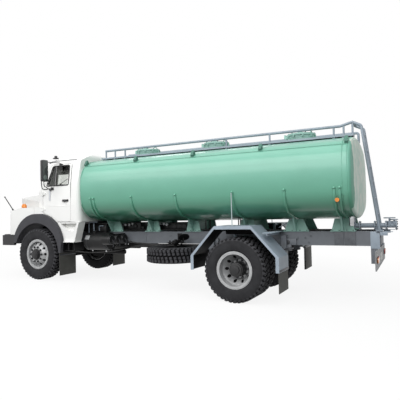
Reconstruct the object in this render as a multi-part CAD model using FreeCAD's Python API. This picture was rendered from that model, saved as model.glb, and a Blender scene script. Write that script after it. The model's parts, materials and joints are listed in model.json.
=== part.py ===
"""Two-axle bonneted tanker truck with a steel tank, hollow cab, doors, bonnet and steered wheels.

Sizes are millimetres in the chassis frame: X forward from the rear axle, Y to the left and
Z up from the top of the frame rails. Every piece is then set on its wheels with the slight
nose-down lean of the empty vehicle, with its origin under the middle of its length.
"""
import FreeCAD, Part
import math
import os

from FreeCAD import Placement, Rotation, Vector

# Running gear
WHEELBASE = 4920.0
CAB_REAR_X = WHEELBASE - 1230.0
FRONT_AXLE_Z = -485.0
REAR_AXLE_Z = -665.0
TYRE_RADIUS = 590.0
TYRE_WIDTH = 315.0
TREAD_WIDTH = 262.0
SHOULDER_DROP = 38.0
SHOULDER_INSET = 8.0
BEAD_RADIUS = 305.0
BEAD_WIDTH = 224.0
FLANGE_RADIUS = 343.0
FLANGE_WIDTH = 18.0
RIM_WALL = 14.0
DISC_WALL = 14.0
FRONT_WHEEL_Y = 1030.0
REAR_OUTER_WHEEL_Y = 1062.0
DUAL_SPACING = 345.0
KINGPIN_Y = 885.0
KINGPIN_RADIUS = 22.0
PIN_CLEARANCE = 0.05
SPINDLE_RADIUS = 40.0
REAR_SPINDLE_RADIUS = 60.0
DRUM_RADIUS = 225.0
HAND_HOLE_RADIUS = 30.0
HAND_HOLES = 10
HUB_FACE = 160.0
STEER_LIMIT = 32.0
STEERING_RATIO = 15.0
ARM_REACH = 215.0
BALL_RADIUS = 14.0
BACK_PLATE_RADIUS = 272.0

# Frame
RAIL_OUTER_Y = 430.0
RAIL_HEIGHT = 255.0
RAIL_FLANGE = 80.0
RAIL_WALL = 10.0
FRAME_REAR_X = -2390.0
FRAME_FRONT_X = WHEELBASE + 840.0
CROSSMEMBER_HEIGHT = 120.0
CROSSMEMBER_DEPTH = 70.0
CROSSMEMBER_TOP = -20.0
CROSSMEMBERS_X = (-1330.0, 820.0, 2080.0, 3280.0)

# Springs
FRONT_SPRING_Y = 390.0
REAR_SPRING_Y = 496.0
SPRING_WIDTH = 78.0
LEAF_THICKNESS = 13.0
FRONT_LEAVES = 5
REAR_LEAVES = 7
FRONT_SPRING_REACH = 720.0
REAR_SPRING_REACH = 740.0
FRONT_SPRING_CAMBER = 20.0
REAR_SPRING_CAMBER = 62.0
SHORTEST_LEAF = 0.42
SEAT_GAP = 0.3
FRONT_PAD = 2.0
REAR_PAD = 20.0

# Axles and steering
REAR_BEAM_RADIUS = 72.0
FRONT_BEAM_HALF = 50.0
BEAM_DROP = 70.0
EYE_HEIGHT = 92.0
EYE_RADIUS = 44.0
FORK_GAP = 3.0
FORK_THICKNESS = 40.0
STEERING_ARM = 26.0
TIE_ROD_RADIUS = 15.0

# Driveline and engine
SHAFT_Y = -40.0
SHAFT_RADIUS = 42.0
SHAFT_TAIL_Z = -175.0
PINION_REACH = 330.0
GEARBOX_X = (CAB_REAR_X - 130.0, CAB_REAR_X + 610.0)
ENGINE_X = (CAB_REAR_X + 610.0, CAB_REAR_X + 2010.0)
ENGINE_HALF_WIDTH = 290.0
RADIATOR_X = CAB_REAR_X + 2140.0
RADIATOR_TOP_Z = 465.0

# Tank
TANK_HALF_WIDTH = 1190.0
TANK_HALF_HEIGHT = 737.0
TANK_MIDDLE_Z = 957.0
TANK_SIDE_RADIUS = 1600.0
TANK_TOP_RADIUS = 3000.0
TANK_CORNER_RADIUS = 430.0
TANK_FRONT_X = CAB_REAR_X - 130.0
TANK_REAR_X = -1990.0
FRONT_DOME = 105.0
REAR_DOME = 96.0
DOME_EDGE = 60.0
KNUCKLE = 55.0
CROWN_SHARES = (0.3, 0.65, 1.0)
RIB_X = (3310.0, 3225.0, 2240.0, 1200.0, 10.0, -950.0, -1780.0, -1868.0)
RIB_WIDTH = 34.0
RIB_HEIGHT = 20.0
RIB_TOP_Z = 750.0
SADDLE_X = (3290.0, 2200.0, 1210.0, 10.0, -955.0, -1790.0)
SADDLE_FOOT = (540.0, 360.0, 330.0, 360.0, 450.0, 400.0)
SADDLE_NECK = (310.0, 220.0, 210.0, 220.0, 190.0, 230.0)
SADDLE_PLATE = 14.0
SADDLE_REACH_Y = 820.0
FOOT_THICKNESS = 14.0
FOOT_WIDTH = 150.0
COLLAR_X = (2565.0, 820.0, -1005.0)
COLLAR_RADIUS = 262.0
COLLAR_LIP = 14.0
LID_LIP = 10.0
COLLAR_WALL = 12.0
COLLAR_TOP_Z = 1850.0
LID_THICKNESS = 22.0
LID_CROWN = 22.0
LID_GAP = 0.3
LID_PIN_RADIUS = 9.0
LID_HINGE_X = COLLAR_RADIUS + 48.0
LID_HINGE_Z = COLLAR_TOP_Z + 14.0
LUG_X = (3540.0, 2220.0, 876.0, -497.0, -1975.0)
LUG_HALF_HEIGHT = 103.0
LUG_HALF_WIDTH = 66.0
LUG_THICKNESS = 56.0
LUG_ANGLE = 36.0
LUG_STAND = 8.0

# Walkway, rails and ladder
WALKWAY_Y = (350.0, 500.0)
WALKWAY_Z = (1674.0, 1710.0)
WALKWAY_X = (-2030.0, TANK_FRONT_X - 20.0)
RAIL_TUBE_RADIUS = 25.0
POST_RADIUS = 18.0
HANDRAIL_Y = 450.0
HANDRAIL_Z = 1870.0
HANDRAIL_FRONT_X = 3450.0
PEAK_X = -2010.0
PEAK_RISE = 52.0
STILE_TOP = (-2155.0, 1850.0)
STILE_FOOT = (-2392.0, 20.0)
POSTS_X = (3440.0, 3180.0, 2900.0, 400.0, -500.0, -1690.0, -1860.0)
LADDER_Y = (40.0, 450.0)
LADDER_RUNGS = 6
RUNG_RADIUS = 12.0

# Cab
CAB_HALF_WIDTH = 1120.0
CAB_FRONT_X = CAB_REAR_X + 1410.0
CAB_BOTTOM_Z = 240.0
CAB_WALL = 42.0
WING_TOP_Z = 600.0
COWL_TOP_Z = 965.0
COWL_HALF_WIDTH = CAB_HALF_WIDTH - 190.0
BELT_Z = 1090.0
GUTTER_Z = 1620.0
GUTTER_HALF_WIDTH = CAB_HALF_WIDTH - 90.0
ROOF_CROWN_Z = 1862.0
DOOR_REAR_X = CAB_REAR_X + 240.0
DOOR_FRONT_X = CAB_REAR_X + 1065.0
DOOR_BOTTOM_Z = 262.0
DOOR_TOP_Z = 1572.0
DOOR_GAP = 7.0
REBATE_DEPTH = 15.0
REBATE_GAP = 14.0
GLASS_WALL = 6.0
GLASS_INSET = 16.0
DIVIDER_X = CAB_REAR_X + 735.0
DIVIDER_WIDTH = 26.0
HINGE_X = DOOR_FRONT_X + 2.0
HINGE_Y = CAB_HALF_WIDTH + 14.0
HINGE_PIN_RADIUS = 7.0
HINGE_BARREL_RADIUS = 12.0
HINGE_Z = (545.0, 905.0)
HINGE_LENGTH = 90.0
DOOR_LIMIT = 70.0

# Bonnet and wings
BONNET_REAR_X = CAB_FRONT_X + 8.0
BONNET_FRONT_X = CAB_REAR_X + 2355.0
BONNET_REAR_HALF_WIDTH = 905.0
BONNET_FRONT_HALF_WIDTH = 705.0
BONNET_CROWN_Z = 985.0
BONNET_NOSE_FALL = 112.0
BONNET_WALL = 24.0
BONNET_GAP = 6.0
BONNET_LIMIT = 45.0
BONNET_HINGE_Y = 250.0
BONNET_HINGE_X = BONNET_REAR_X + 14.0
BONNET_HINGE_Z = 955.0
BONNET_PIN_RADIUS = 7.0
WING_FRONT_X = CAB_REAR_X + 2240.0
NOSE_X = CAB_REAR_X + 2360.0
WING_BOTTOM_Z = -40.0
WING_BREAK_X = CAB_REAR_X + 1810.0
WING_FALL = 0.186
WING_WALL = 28.0
ARCH_Z = -460.0
ARCH_RADIUS = 700.0
LINER_RADIUS = 684.0
LINER_WALL = 10.0
LINER_INNER_Y = 640.0
FLARE_RADIUS = 908.0
FLARE_PEAK_RADIUS = 915.0
DOOR_ARCH_RADIUS = FLARE_PEAK_RADIUS + 25.0
FLARE_INNER_RADIUS = 695.0
FLARE_OUTER_Y = CAB_HALF_WIDTH + 82.0
FLARE_END_Z = -440.0
GRILLE_HALF_WIDTH = 480.0
GRILLE_Z = (60.0, 430.0)
GRILLE_X = (CAB_REAR_X + 2255.0, CAB_REAR_X + 2325.0)
GRILLE_FRAME = 24.0
SLAT_COUNT = 7
SLAT_HEIGHT = 26.0
LAMP_Y = 830.0
LAMP_Z = 270.0
LAMP_RADIUS = 105.0
BUMPER_Z = (-290.0, -48.0)
BUMPER_HALF_WIDTH = CAB_HALF_WIDTH + 30.0
BUMPER_FRONT_X = CAB_REAR_X + 2560.0
BUMPER_SWEEP = 110.0
BUMPER_RETURN_X = CAB_REAR_X + 2010.0
BUMPER_WALL = 60.0

# Side equipment
DRUM_TANK_RADIUS = 194.0
DRUM_TANK_X = (CAB_REAR_X - 590.0, CAB_REAR_X + 55.0)
DRUM_TANK_Y = 745.0
DRUM_TANK_Z = -200.0
AIR_TANK_RADIUS = 104.0
AIR_TANK_X = (CAB_REAR_X - 830.0, CAB_REAR_X - 606.0)
AIR_TANK_Y = (560.0, 785.0, 1010.0)
AIR_TANK_Z = -150.0
SPARE_X = 1520.0
SPARE_Y = 655.0
SPARE_Z = -445.0
GUARD_INNER_Y = 650.0
GUARD_OUTER_Y = 1250.0
GUARD_SHEET = 8.0
GUARD_TOP_Z = 135.0
GUARD_REACH = 850.0
GUARD_TOP_REACH = 355.0
GUARD_KNEE_Z = -410.0
GUARD_BOTTOM_Z = -675.0
GUARD_LIP = 60.0
FLAP_BOTTOM_Z = -1030.0
RIGHT_FLAP_BOTTOM_Z = -850.0
FLAP_WALL = 10.0
FRONT_FLAP_X = CAB_REAR_X + 500.0
FRONT_FLAP_BOTTOM_Z = -945.0
STEP_BOX_X = (CAB_REAR_X + 165.0, CAB_REAR_X + 494.0)
STEP_BOX_Y = (790.0, 1095.0)
STEP_BOX_BOTTOM_Z = -400.0
SKIRT_LIP_Z = (-206.0, -186.0)

# Lamps
BOARD_X = (-2372.0, -2352.0)
BOARD_HALF_WIDTH = 1040.0
BOARD_Z = (-610.0, -300.0)
REAR_LAMP_Z = -450.0
RED_LAMP_Y = 745.0
AMBER_LAMP_Y = 905.0
FLANK_LAMP_X = -1824.0
FLANK_LAMP_Y = 1190.0
FLANK_LAMP_Z = 545.0
WING_LAMP_X = CAB_REAR_X + 1830.0
MARKER_X = CAB_REAR_X + 2190.0
MARKER_Y = 1000.0
MARKER_RADIUS = 11.0

# Rear outlet
PIPE_Y = 270.0
PIPE_Z = 95.0
PIPE_RADIUS = 42.0
PIPE_END_X = -2660.0
SUMP_X = -1945.0
FLANGE_OUTER_RADIUS = 82.0
FLANGE_THICKNESS = 20.0
FLANGES_X = (-2050.0, -2300.0, -2480.0, -2640.0)
VALVES = ((-2545.0, 130.0, 95.0), (-2620.0, 100.0, 60.0))
HANDWHEEL_THICKNESS = 18.0

# Mirrors
MIRROR_X = CAB_REAR_X + 740.0
MIRROR_Y = CAB_HALF_WIDTH + 242.0
MIRROR_Z = (1165.0, 1650.0)
MIRROR_HALF_WIDTH = 84.0
MIRROR_ARM_Z = 1030.0
COLUMN_TILT = 38.0

UP = Vector(0, 0, 1)
ACROSS = Vector(0, 1, 0)
AHEAD = Vector(1, 0, 0)


def lean_angle():
    return math.atan2(FRONT_AXLE_Z - REAR_AXLE_Z, WHEELBASE)


def row_placement():
    """Lean about the rear axle, lift to the ground, then put the origin under the middle."""
    turn = Rotation(ACROSS, math.degrees(lean_angle()))
    axle = Vector(0, 0, REAR_AXLE_Z)
    low_wheel_z = PIPE_Z + VALVES[1][1] - HANDWHEEL_THICKNESS / 2
    rear = turn.multVec(Vector(VALVES[1][0] - VALVES[1][2], 0, low_wheel_z) - axle)
    front = turn.multVec(Vector(BUMPER_FRONT_X, 0, BUMPER_Z[1]) - axle)
    lift = Vector(-(front.x + rear.x) / 2, 0, TYRE_RADIUS)
    return Placement(lift - turn.multVec(axle), turn)


def row_point(point):
    return row_placement().multVec(point)


def row_direction(direction):
    return row_placement().Rotation.multVec(direction)


def cab_x(distance):
    """Station forward from the back of the cab."""
    return CAB_REAR_X + distance


# Shapes from outlines

def on_xz(y):
    return lambda p: Vector(p.x, y, p.y)


def on_yz(x):
    return lambda p: Vector(x, p.x, p.y)


def on_xy(z):
    return lambda p: Vector(p.x, p.y, z)


def corner_stop(corners, index):
    """Start, middle and end of the round at one corner of an outline."""
    u, v, radius = corners[index]
    here = Vector(u, v, 0)
    if radius <= 0:
        return here, None, here
    before = Vector(corners[index - 1][0], corners[index - 1][1], 0) - here
    after_corner = corners[(index + 1) % len(corners)]
    after = Vector(after_corner[0], after_corner[1], 0) - here
    before.normalize()
    after.normalize()
    half = before.getAngle(after) / 2
    middle_line = before + after
    middle_line.normalize()
    reach = radius / math.tan(half)
    middle = here + middle_line * (radius / math.sin(half) - radius)
    return here + before * reach, middle, here + after * reach


def outline(corners, lift):
    """Closed wire through corners (u, v, radius)."""
    stops = [corner_stop(corners, index) for index in range(len(corners))]
    edges = []
    for index, (start, middle, end) in enumerate(stops):
        if middle is not None:
            edges.append(Part.Arc(lift(start), lift(middle), lift(end)).toShape())
        following = stops[(index + 1) % len(stops)][0]
        if (following - end).Length > 1e-4:
            edges.append(Part.makeLine(lift(end), lift(following)))
    return Part.Wire(edges)


def inset_corners(corners, depth):
    """The same outline moved inward by depth, its rounds kept concentric."""
    count = len(corners)
    area = sum(corners[i - 1][0] * corners[i][1] - corners[i][0] * corners[i - 1][1]
               for i in range(count))
    side = 1 if area > 0 else -1
    moved = []
    for index, (u, v, radius) in enumerate(corners):
        here = Vector(u, v, 0)
        into = here - Vector(corners[index - 1][0], corners[index - 1][1], 0)
        out = Vector(corners[(index + 1) % count][0], corners[(index + 1) % count][1], 0) - here
        into.normalize()
        out.normalize()
        first = Vector(-into.y, into.x, 0) * side
        second = Vector(-out.y, out.x, 0) * side
        shift = (first + second) * (depth / (1 + first.dot(second)))
        convex = into.cross(out).z * side > 0
        new_radius = radius - depth if convex else radius + depth
        moved.append((u + shift.x, v + shift.y, max(new_radius, 1.0) if radius > 0 else 0))
    return moved


def prism_xz(corners, y0, y1):
    return Part.Face(outline(corners, on_xz(y0))).extrude(Vector(0, y1 - y0, 0))


def prism_yz(corners, x0, x1):
    return Part.Face(outline(corners, on_yz(x0))).extrude(Vector(x1 - x0, 0, 0))


def prism_xy(corners, z0, z1):
    return Part.Face(outline(corners, on_xy(z0))).extrude(Vector(0, 0, z1 - z0))


def block(x0, x1, y0, y1, z0, z1):
    return Part.makeBox(x1 - x0, y1 - y0, z1 - z0, Vector(x0, y0, z0))


def rod(start, end, radius):
    return Part.makeCylinder(radius, (end - start).Length, start, end - start)


def ring(start, end, outer, inner):
    return rod(start, end, outer).cut(rod(start, end, inner))


def bent_rod(points, radius, bend):
    """Round bar through points, each bend an arc of the given radius."""
    edges = []
    start = points[0]
    for before, here, after in zip(points, points[1:], points[2:]):
        into = before - here
        out = after - here
        into.normalize()
        out.normalize()
        half = into.getAngle(out) / 2
        reach = bend / math.tan(half)
        middle_line = into + out
        middle_line.normalize()
        middle = here + middle_line * (bend / math.sin(half) - bend)
        edges.append(Part.makeLine(start, here + into * reach))
        edges.append(Part.Arc(here + into * reach, middle, here + out * reach).toShape())
        start = here + out * reach
    edges.append(Part.makeLine(start, points[-1]))
    path = Part.Wire(edges)
    section = Part.Wire([Part.makeCircle(radius, points[0], points[1] - points[0])])
    return path.makePipeShell([section], True, True)


def revolved(points, centre, axis):
    """Solid of revolution: points are (distance along the axis, radius)."""
    corners = [(along, radius, 0) for along, radius in points]
    face = Part.Face(outline(corners, lambda p: Vector(p.x, 0, p.y)))
    body = face.revolve(Vector(0, 0, 0), Vector(1, 0, 0), 360)
    body.Placement = Placement(centre, Rotation(Vector(1, 0, 0), axis))
    return body


def mirrored(shape):
    return shape.mirror(Vector(0, 0, 0), Vector(0, 1, 0))


def both_sides(shape):
    return [shape, mirrored(shape)]


def fused(shapes):
    whole = shapes[0].multiFuse(shapes[1:]) if len(shapes) > 1 else shapes[0]
    return whole.removeSplitter()


# Chassis

def rail():
    channel = [(RAIL_OUTER_Y, 0, 0), (RAIL_OUTER_Y - RAIL_FLANGE, 0, 0),
               (RAIL_OUTER_Y - RAIL_FLANGE, -RAIL_WALL, 0), (RAIL_OUTER_Y - RAIL_WALL, -RAIL_WALL, 0),
               (RAIL_OUTER_Y - RAIL_WALL, RAIL_WALL - RAIL_HEIGHT, 0),
               (RAIL_OUTER_Y - RAIL_FLANGE, RAIL_WALL - RAIL_HEIGHT, 0),
               (RAIL_OUTER_Y - RAIL_FLANGE, -RAIL_HEIGHT, 0), (RAIL_OUTER_Y, -RAIL_HEIGHT, 0)]
    return prism_yz(channel, FRAME_REAR_X, FRAME_FRONT_X)


def crossmember(x):
    top = CROSSMEMBER_TOP
    bottom = CROSSMEMBER_TOP - CROSSMEMBER_HEIGHT
    half = RAIL_OUTER_Y - RAIL_WALL
    body = block(x, x + CROSSMEMBER_DEPTH, -half, half, bottom, top)
    hollow = block(x + RAIL_WALL, x + CROSSMEMBER_DEPTH, -half, half,
                   bottom + RAIL_WALL, top - RAIL_WALL)
    return body.cut(hollow)


def chassis_frame():
    pieces = both_sides(rail())
    pieces += [crossmember(x) for x in CROSSMEMBERS_X]
    end_half = RAIL_OUTER_Y - RAIL_WALL
    pieces.append(block(FRAME_REAR_X, FRAME_REAR_X + RAIL_WALL, -end_half, end_half,
                        RAIL_WALL / 2 - RAIL_HEIGHT, -RAIL_WALL / 2))
    pieces.append(block(FRAME_FRONT_X - RAIL_WALL, FRAME_FRONT_X, -end_half, end_half,
                        RAIL_WALL / 2 - RAIL_HEIGHT, -RAIL_WALL / 2))
    for x in (REAR_SPRING_REACH, -REAR_SPRING_REACH):
        hanger = block(x - 50, x + 50, RAIL_OUTER_Y - 2, REAR_SPRING_Y + SPRING_WIDTH / 2 + 6,
                       rear_spring_eye_z() + SEAT_GAP, -70.0)
        pieces += both_sides(hanger)
    for x in (WHEELBASE + FRONT_SPRING_REACH, WHEELBASE - FRONT_SPRING_REACH):
        hanger = block(x - 40, x + 40, FRONT_SPRING_Y - SPRING_WIDTH / 2, RAIL_OUTER_Y,
                       front_spring_eye_z() + SEAT_GAP, 5.0 - RAIL_HEIGHT)
        pieces += both_sides(hanger)
    pieces += both_sides(lamp_board_arm())
    return fused(pieces)


def lamp_board_arm():
    """Channel that hangs from the rail's end and carries the lamp board."""
    x0 = BOARD_X[1] + SEAT_GAP
    y0, y1 = RAIL_OUTER_Y - 90, RAIL_OUTER_Y
    arm = block(x0, x0 + 110, y0, y1, BOARD_Z[0] + 50, 5 - RAIL_HEIGHT)
    return arm.cut(block(x0 + RAIL_WALL, x0 + 120, y0 + RAIL_WALL, y1 - RAIL_WALL,
                         BOARD_Z[0] + 40, -RAIL_HEIGHT))


# Axles and springs

def rear_spring_base_z():
    return REAR_AXLE_Z + REAR_BEAM_RADIUS + REAR_PAD


def front_spring_base_z():
    return FRONT_AXLE_Z + FRONT_BEAM_HALF + FRONT_PAD


def rear_spring_eye_z():
    return rear_spring_base_z() + REAR_LEAVES * LEAF_THICKNESS + REAR_SPRING_CAMBER


def front_spring_eye_z():
    return front_spring_base_z() + FRONT_LEAVES * LEAF_THICKNESS + FRONT_SPRING_CAMBER


def leaf(centre_x, reach, full_reach, camber, base_z, y):
    """One bowed leaf: the ends rise with the square of their distance from the axle."""
    def rise(distance):
        return camber * (distance / full_reach) ** 2
    x0, x1 = centre_x - reach, centre_x + reach
    low = [Vector(x0, y, base_z + rise(reach)), Vector(centre_x, y, base_z),
           Vector(x1, y, base_z + rise(reach))]
    high = [point + Vector(0, 0, LEAF_THICKNESS) for point in low]
    edges = [Part.Arc(*low).toShape(), Part.makeLine(low[2], high[2]),
             Part.Arc(high[2], high[1], high[0]).toShape(), Part.makeLine(high[0], low[0])]
    face = Part.Face(Part.Wire(edges))
    return face.extrude(Vector(0, SPRING_WIDTH, 0))


def spring(centre_x, y, reach, leaves, camber, base_z):
    pieces = []
    for index in range(leaves):
        share = SHORTEST_LEAF + (1 - SHORTEST_LEAF) * (index + 1) / leaves
        pieces.append(leaf(centre_x, reach * share, reach, camber,
                           base_z + index * LEAF_THICKNESS, y - SPRING_WIDTH / 2))
    return fused(pieces)


def leaf_springs():
    front = spring(WHEELBASE, FRONT_SPRING_Y, FRONT_SPRING_REACH, FRONT_LEAVES,
                   FRONT_SPRING_CAMBER, front_spring_base_z())
    rear = spring(0, REAR_SPRING_Y, REAR_SPRING_REACH, REAR_LEAVES, REAR_SPRING_CAMBER,
                  rear_spring_base_z())
    return both_sides(front) + both_sides(rear)


def front_axle():
    """Forged beam with dropped middle, spring pads and a kingpin in each end eye."""
    z = FRONT_AXLE_Z
    half = FRONT_BEAM_HALF
    drop = z - BEAM_DROP
    end = KINGPIN_Y
    beam = [(-end, z - 30, 0), (-end + 190, z - 36, 40), (-end + 320, drop - half, 60),
            (end - 320, drop - half, 60), (end - 190, z - 36, 40), (end, z - 30, 0),
            (end, z + 30, 0), (end - 240, z + 34, 50), (FRONT_SPRING_Y + 60, z + half, 0),
            (FRONT_SPRING_Y - 60, z + half, 0), (FRONT_SPRING_Y - 110, drop + half, 40),
            (110 - FRONT_SPRING_Y, drop + half, 40), (60 - FRONT_SPRING_Y, z + half, 0),
            (-60 - FRONT_SPRING_Y, z + half, 0), (240 - end, z + 34, 50), (-end, z + 30, 0)]
    body = prism_yz(beam, WHEELBASE - 38, WHEELBASE + 38)
    pieces = [body]
    for side in (1, -1):
        low = Vector(WHEELBASE, side * end, z - EYE_HEIGHT / 2)
        pieces.append(rod(low, low + Vector(0, 0, EYE_HEIGHT), EYE_RADIUS))
        pin = Vector(WHEELBASE, side * end, z - EYE_HEIGHT / 2 - 48)
        pieces.append(rod(pin, pin + Vector(0, 0, EYE_HEIGHT + 96), KINGPIN_RADIUS))
        pad = block(WHEELBASE - 70, WHEELBASE + 70, FRONT_SPRING_Y - 45, FRONT_SPRING_Y + 45,
                    z + half - 20, front_spring_base_z())
        pieces.append(pad if side == 1 else mirrored(pad))
    return fused(pieces)


def shaft_direction():
    """From the middle of the rear axle to the tail of the gearbox."""
    run = Vector(GEARBOX_X[0], 0, SHAFT_TAIL_Z - REAR_AXLE_Z)
    return run.normalize()


def rear_axle():
    """Banjo housing, tapering arms, backing plates and the spindles that carry the hubs."""
    profile = [(0, 0), (0, 205), (60, 198), (150, 130), (240, 84), (300, REAR_BEAM_RADIUS),
               (575, REAR_BEAM_RADIUS), (575, 200), (590, 200), (590, REAR_SPINDLE_RADIUS),
               (1040, REAR_SPINDLE_RADIUS), (1040, 0)]
    left = revolved(profile, Vector(0, 0, REAR_AXLE_Z), Vector(0, 1, 0))
    pieces = [left, mirrored(left)]
    nose = revolved([(0, 0), (0, 150), (170, 120), (PINION_REACH, 62), (PINION_REACH, 0)],
                    Vector(0, SHAFT_Y, REAR_AXLE_Z), shaft_direction())
    pieces.append(nose)
    pad = block(-75, 75, REAR_SPRING_Y - 42, REAR_SPRING_Y + 42, REAR_AXLE_Z, rear_spring_base_z())
    pieces += both_sides(pad)
    return fused(pieces)


def driveline():
    """Gearbox, propeller shaft and the joint at the rear axle."""
    run = shaft_direction()
    pinion = Vector(0, SHAFT_Y, REAR_AXLE_Z) + run * (PINION_REACH + SEAT_GAP)
    tail = Vector(GEARBOX_X[0], SHAFT_Y, SHAFT_TAIL_Z)
    box = block(GEARBOX_X[0], GEARBOX_X[1] - SEAT_GAP, SHAFT_Y - 150, SHAFT_Y + 150, -300, 60)
    pieces = [box, rod(pinion, tail + run * 20, SHAFT_RADIUS),
              rod(pinion, pinion + run * 70, SHAFT_RADIUS + 26),
              rod(tail - run * 90, tail + run * 10, SHAFT_RADIUS + 26)]
    return fused(pieces)


def engine():
    """Plain engine block with its feet on the rails, and the radiator ahead of it."""
    half = ENGINE_HALF_WIDTH
    low = block(ENGINE_X[0], ENGINE_X[1], -half, half, -335, 180)
    high = block(BONNET_REAR_X + 80, ENGINE_X[1], -half, half, 180, 560)
    pieces = [low, high]
    for x in (cab_x(730), cab_x(1870)):
        foot = block(x, x + 90, half - 10, RAIL_OUTER_Y - 20, SEAT_GAP, 60)
        pieces += both_sides(foot)
    core = block(RADIATOR_X, RADIATOR_X + 60, -350, 350, -50, RADIATOR_TOP_Z)
    stand = block(ENGINE_X[1] - 10, RADIATOR_X + 5, -60, 60, 20, 80)
    pieces += [core, stand]
    return fused(pieces)


# Wheels

def tyre_solid(centre, axis):
    """Carcass with a rounded shoulder, bulging sidewalls and a flat tread."""
    bead = BEAD_WIDTH / 2
    tread = TREAD_WIDTH / 2
    wide = TYRE_WIDTH / 2
    shoulder = TYRE_RADIUS - SHOULDER_DROP
    points = [Vector(-bead, 0, BEAD_RADIUS), Vector(-tread, 0, TYRE_RADIUS),
              Vector(tread, 0, TYRE_RADIUS), Vector(bead, 0, BEAD_RADIUS)]
    bulge = 0.52 * BEAD_RADIUS + 0.48 * TYRE_RADIUS
    left_wall = Part.Arc(Vector(-bead, 0, BEAD_RADIUS + 40), Vector(-wide, 0, bulge),
                         Vector(-wide + SHOULDER_INSET, 0, shoulder)).toShape()
    right_wall = Part.Arc(Vector(wide - SHOULDER_INSET, 0, shoulder), Vector(wide, 0, bulge),
                          Vector(bead, 0, BEAD_RADIUS + 40)).toShape()
    edges = [Part.makeLine(points[0], Vector(-bead, 0, BEAD_RADIUS + 40)), left_wall,
             Part.makeLine(Vector(-wide + SHOULDER_INSET, 0, shoulder), points[1]),
             Part.makeLine(points[1], points[2]),
             Part.makeLine(points[2], Vector(wide - SHOULDER_INSET, 0, shoulder)), right_wall,
             Part.makeLine(Vector(bead, 0, BEAD_RADIUS + 40), points[3]),
             Part.makeLine(points[3], points[0])]
    body = Part.Face(Part.Wire(edges)).revolve(Vector(0, 0, 0), Vector(1, 0, 0), 360)
    body.Placement = Placement(centre, Rotation(Vector(1, 0, 0), axis))
    return body


def rim_solid(centre, axis, face, outward):
    """Barrel, flanges and a dished disc whose mounting face lies at face along the axis."""
    bead = BEAD_WIDTH / 2
    inner = BEAD_RADIUS - RIM_WALL
    barrel = revolved([(-bead - FLANGE_WIDTH, inner), (-bead - FLANGE_WIDTH, FLANGE_RADIUS),
                       (-bead, FLANGE_RADIUS), (-bead, BEAD_RADIUS), (bead, BEAD_RADIUS),
                       (bead, FLANGE_RADIUS), (bead + FLANGE_WIDTH, FLANGE_RADIUS),
                       (bead + FLANGE_WIDTH, inner)], centre, axis)
    sign = 1 if outward else -1
    back = face - DISC_WALL
    weld = 20 * sign
    if outward:
        disc_points = [(back, 90), (back, 175), (weld, inner - 1), (weld, inner + 4),
                       (weld + 26, inner + 4), (weld + 26, inner - 6), (face, 185), (face, 90)]
    else:
        disc_points = [(back, 90), (back, 185), (weld - 26, inner - 6), (weld - 26, inner + 4),
                       (weld, inner + 4), (weld, inner - 1), (face, 175), (face, 90)]
    disc = revolved(disc_points, centre, axis)
    direction = Vector(axis)
    direction.normalize()
    spoke = direction.cross(UP)
    for index in range(HAND_HOLES):
        turn = Rotation(direction, 360.0 * index / HAND_HOLES)
        middle = centre + turn.multVec(spoke) * 232.0
        disc = disc.cut(rod(middle - direction * 200, middle + direction * 200, HAND_HOLE_RADIUS))
    return barrel.fuse(disc)


def front_wheel():
    """Left front wheel: rim and disc, hub, cap and brake drum, bored for the spindle."""
    centre = Vector(WHEELBASE, FRONT_WHEEL_Y, FRONT_AXLE_Z)
    axis = Vector(0, 1, 0)
    rim = rim_solid(centre, axis, HUB_FACE, True)
    bore = SPINDLE_RADIUS + PIN_CLEARANCE
    hub = revolved([(-60, bore), (-60, 100), (40, 100), (40, 200), (-95, 200), (-95, DRUM_RADIUS),
                    (60, DRUM_RADIUS), (60, 130), (HUB_FACE - DISC_WALL, 130),
                    (HUB_FACE - DISC_WALL, 90), (HUB_FACE + 40, 84), (HUB_FACE + 62, 60),
                    (HUB_FACE + 62, 0), (120, 0), (120, bore)], centre, axis)
    return fused([rim, hub])


def rear_wheels():
    """Left rear pair: two rims back to back on one hub with its drum."""
    axis = Vector(0, 1, 0)
    outer = Vector(0, REAR_OUTER_WHEEL_Y, REAR_AXLE_Z)
    inner = outer - Vector(0, DUAL_SPACING, 0)
    face = DUAL_SPACING / 2
    bore = REAR_SPINDLE_RADIUS + PIN_CLEARANCE
    pieces = [rim_solid(inner, axis, face, True), rim_solid(outer, axis, -face + DISC_WALL, False)]
    hub = revolved([(-95, bore), (-95, 120), (60, 120), (60, 205), (-100, 205),
                    (-100, DRUM_RADIUS + 5), (90, DRUM_RADIUS + 5), (90, 140), (150, 140),
                    (150, 100), (face + 130, 100), (face + 150, 80), (face + 240, 76),
                    (face + 250, 60), (face + 250, 0), (face + 165, 0), (face + 165, bore)],
                   inner, axis)
    pieces.append(hub)
    return fused(pieces)


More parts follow.
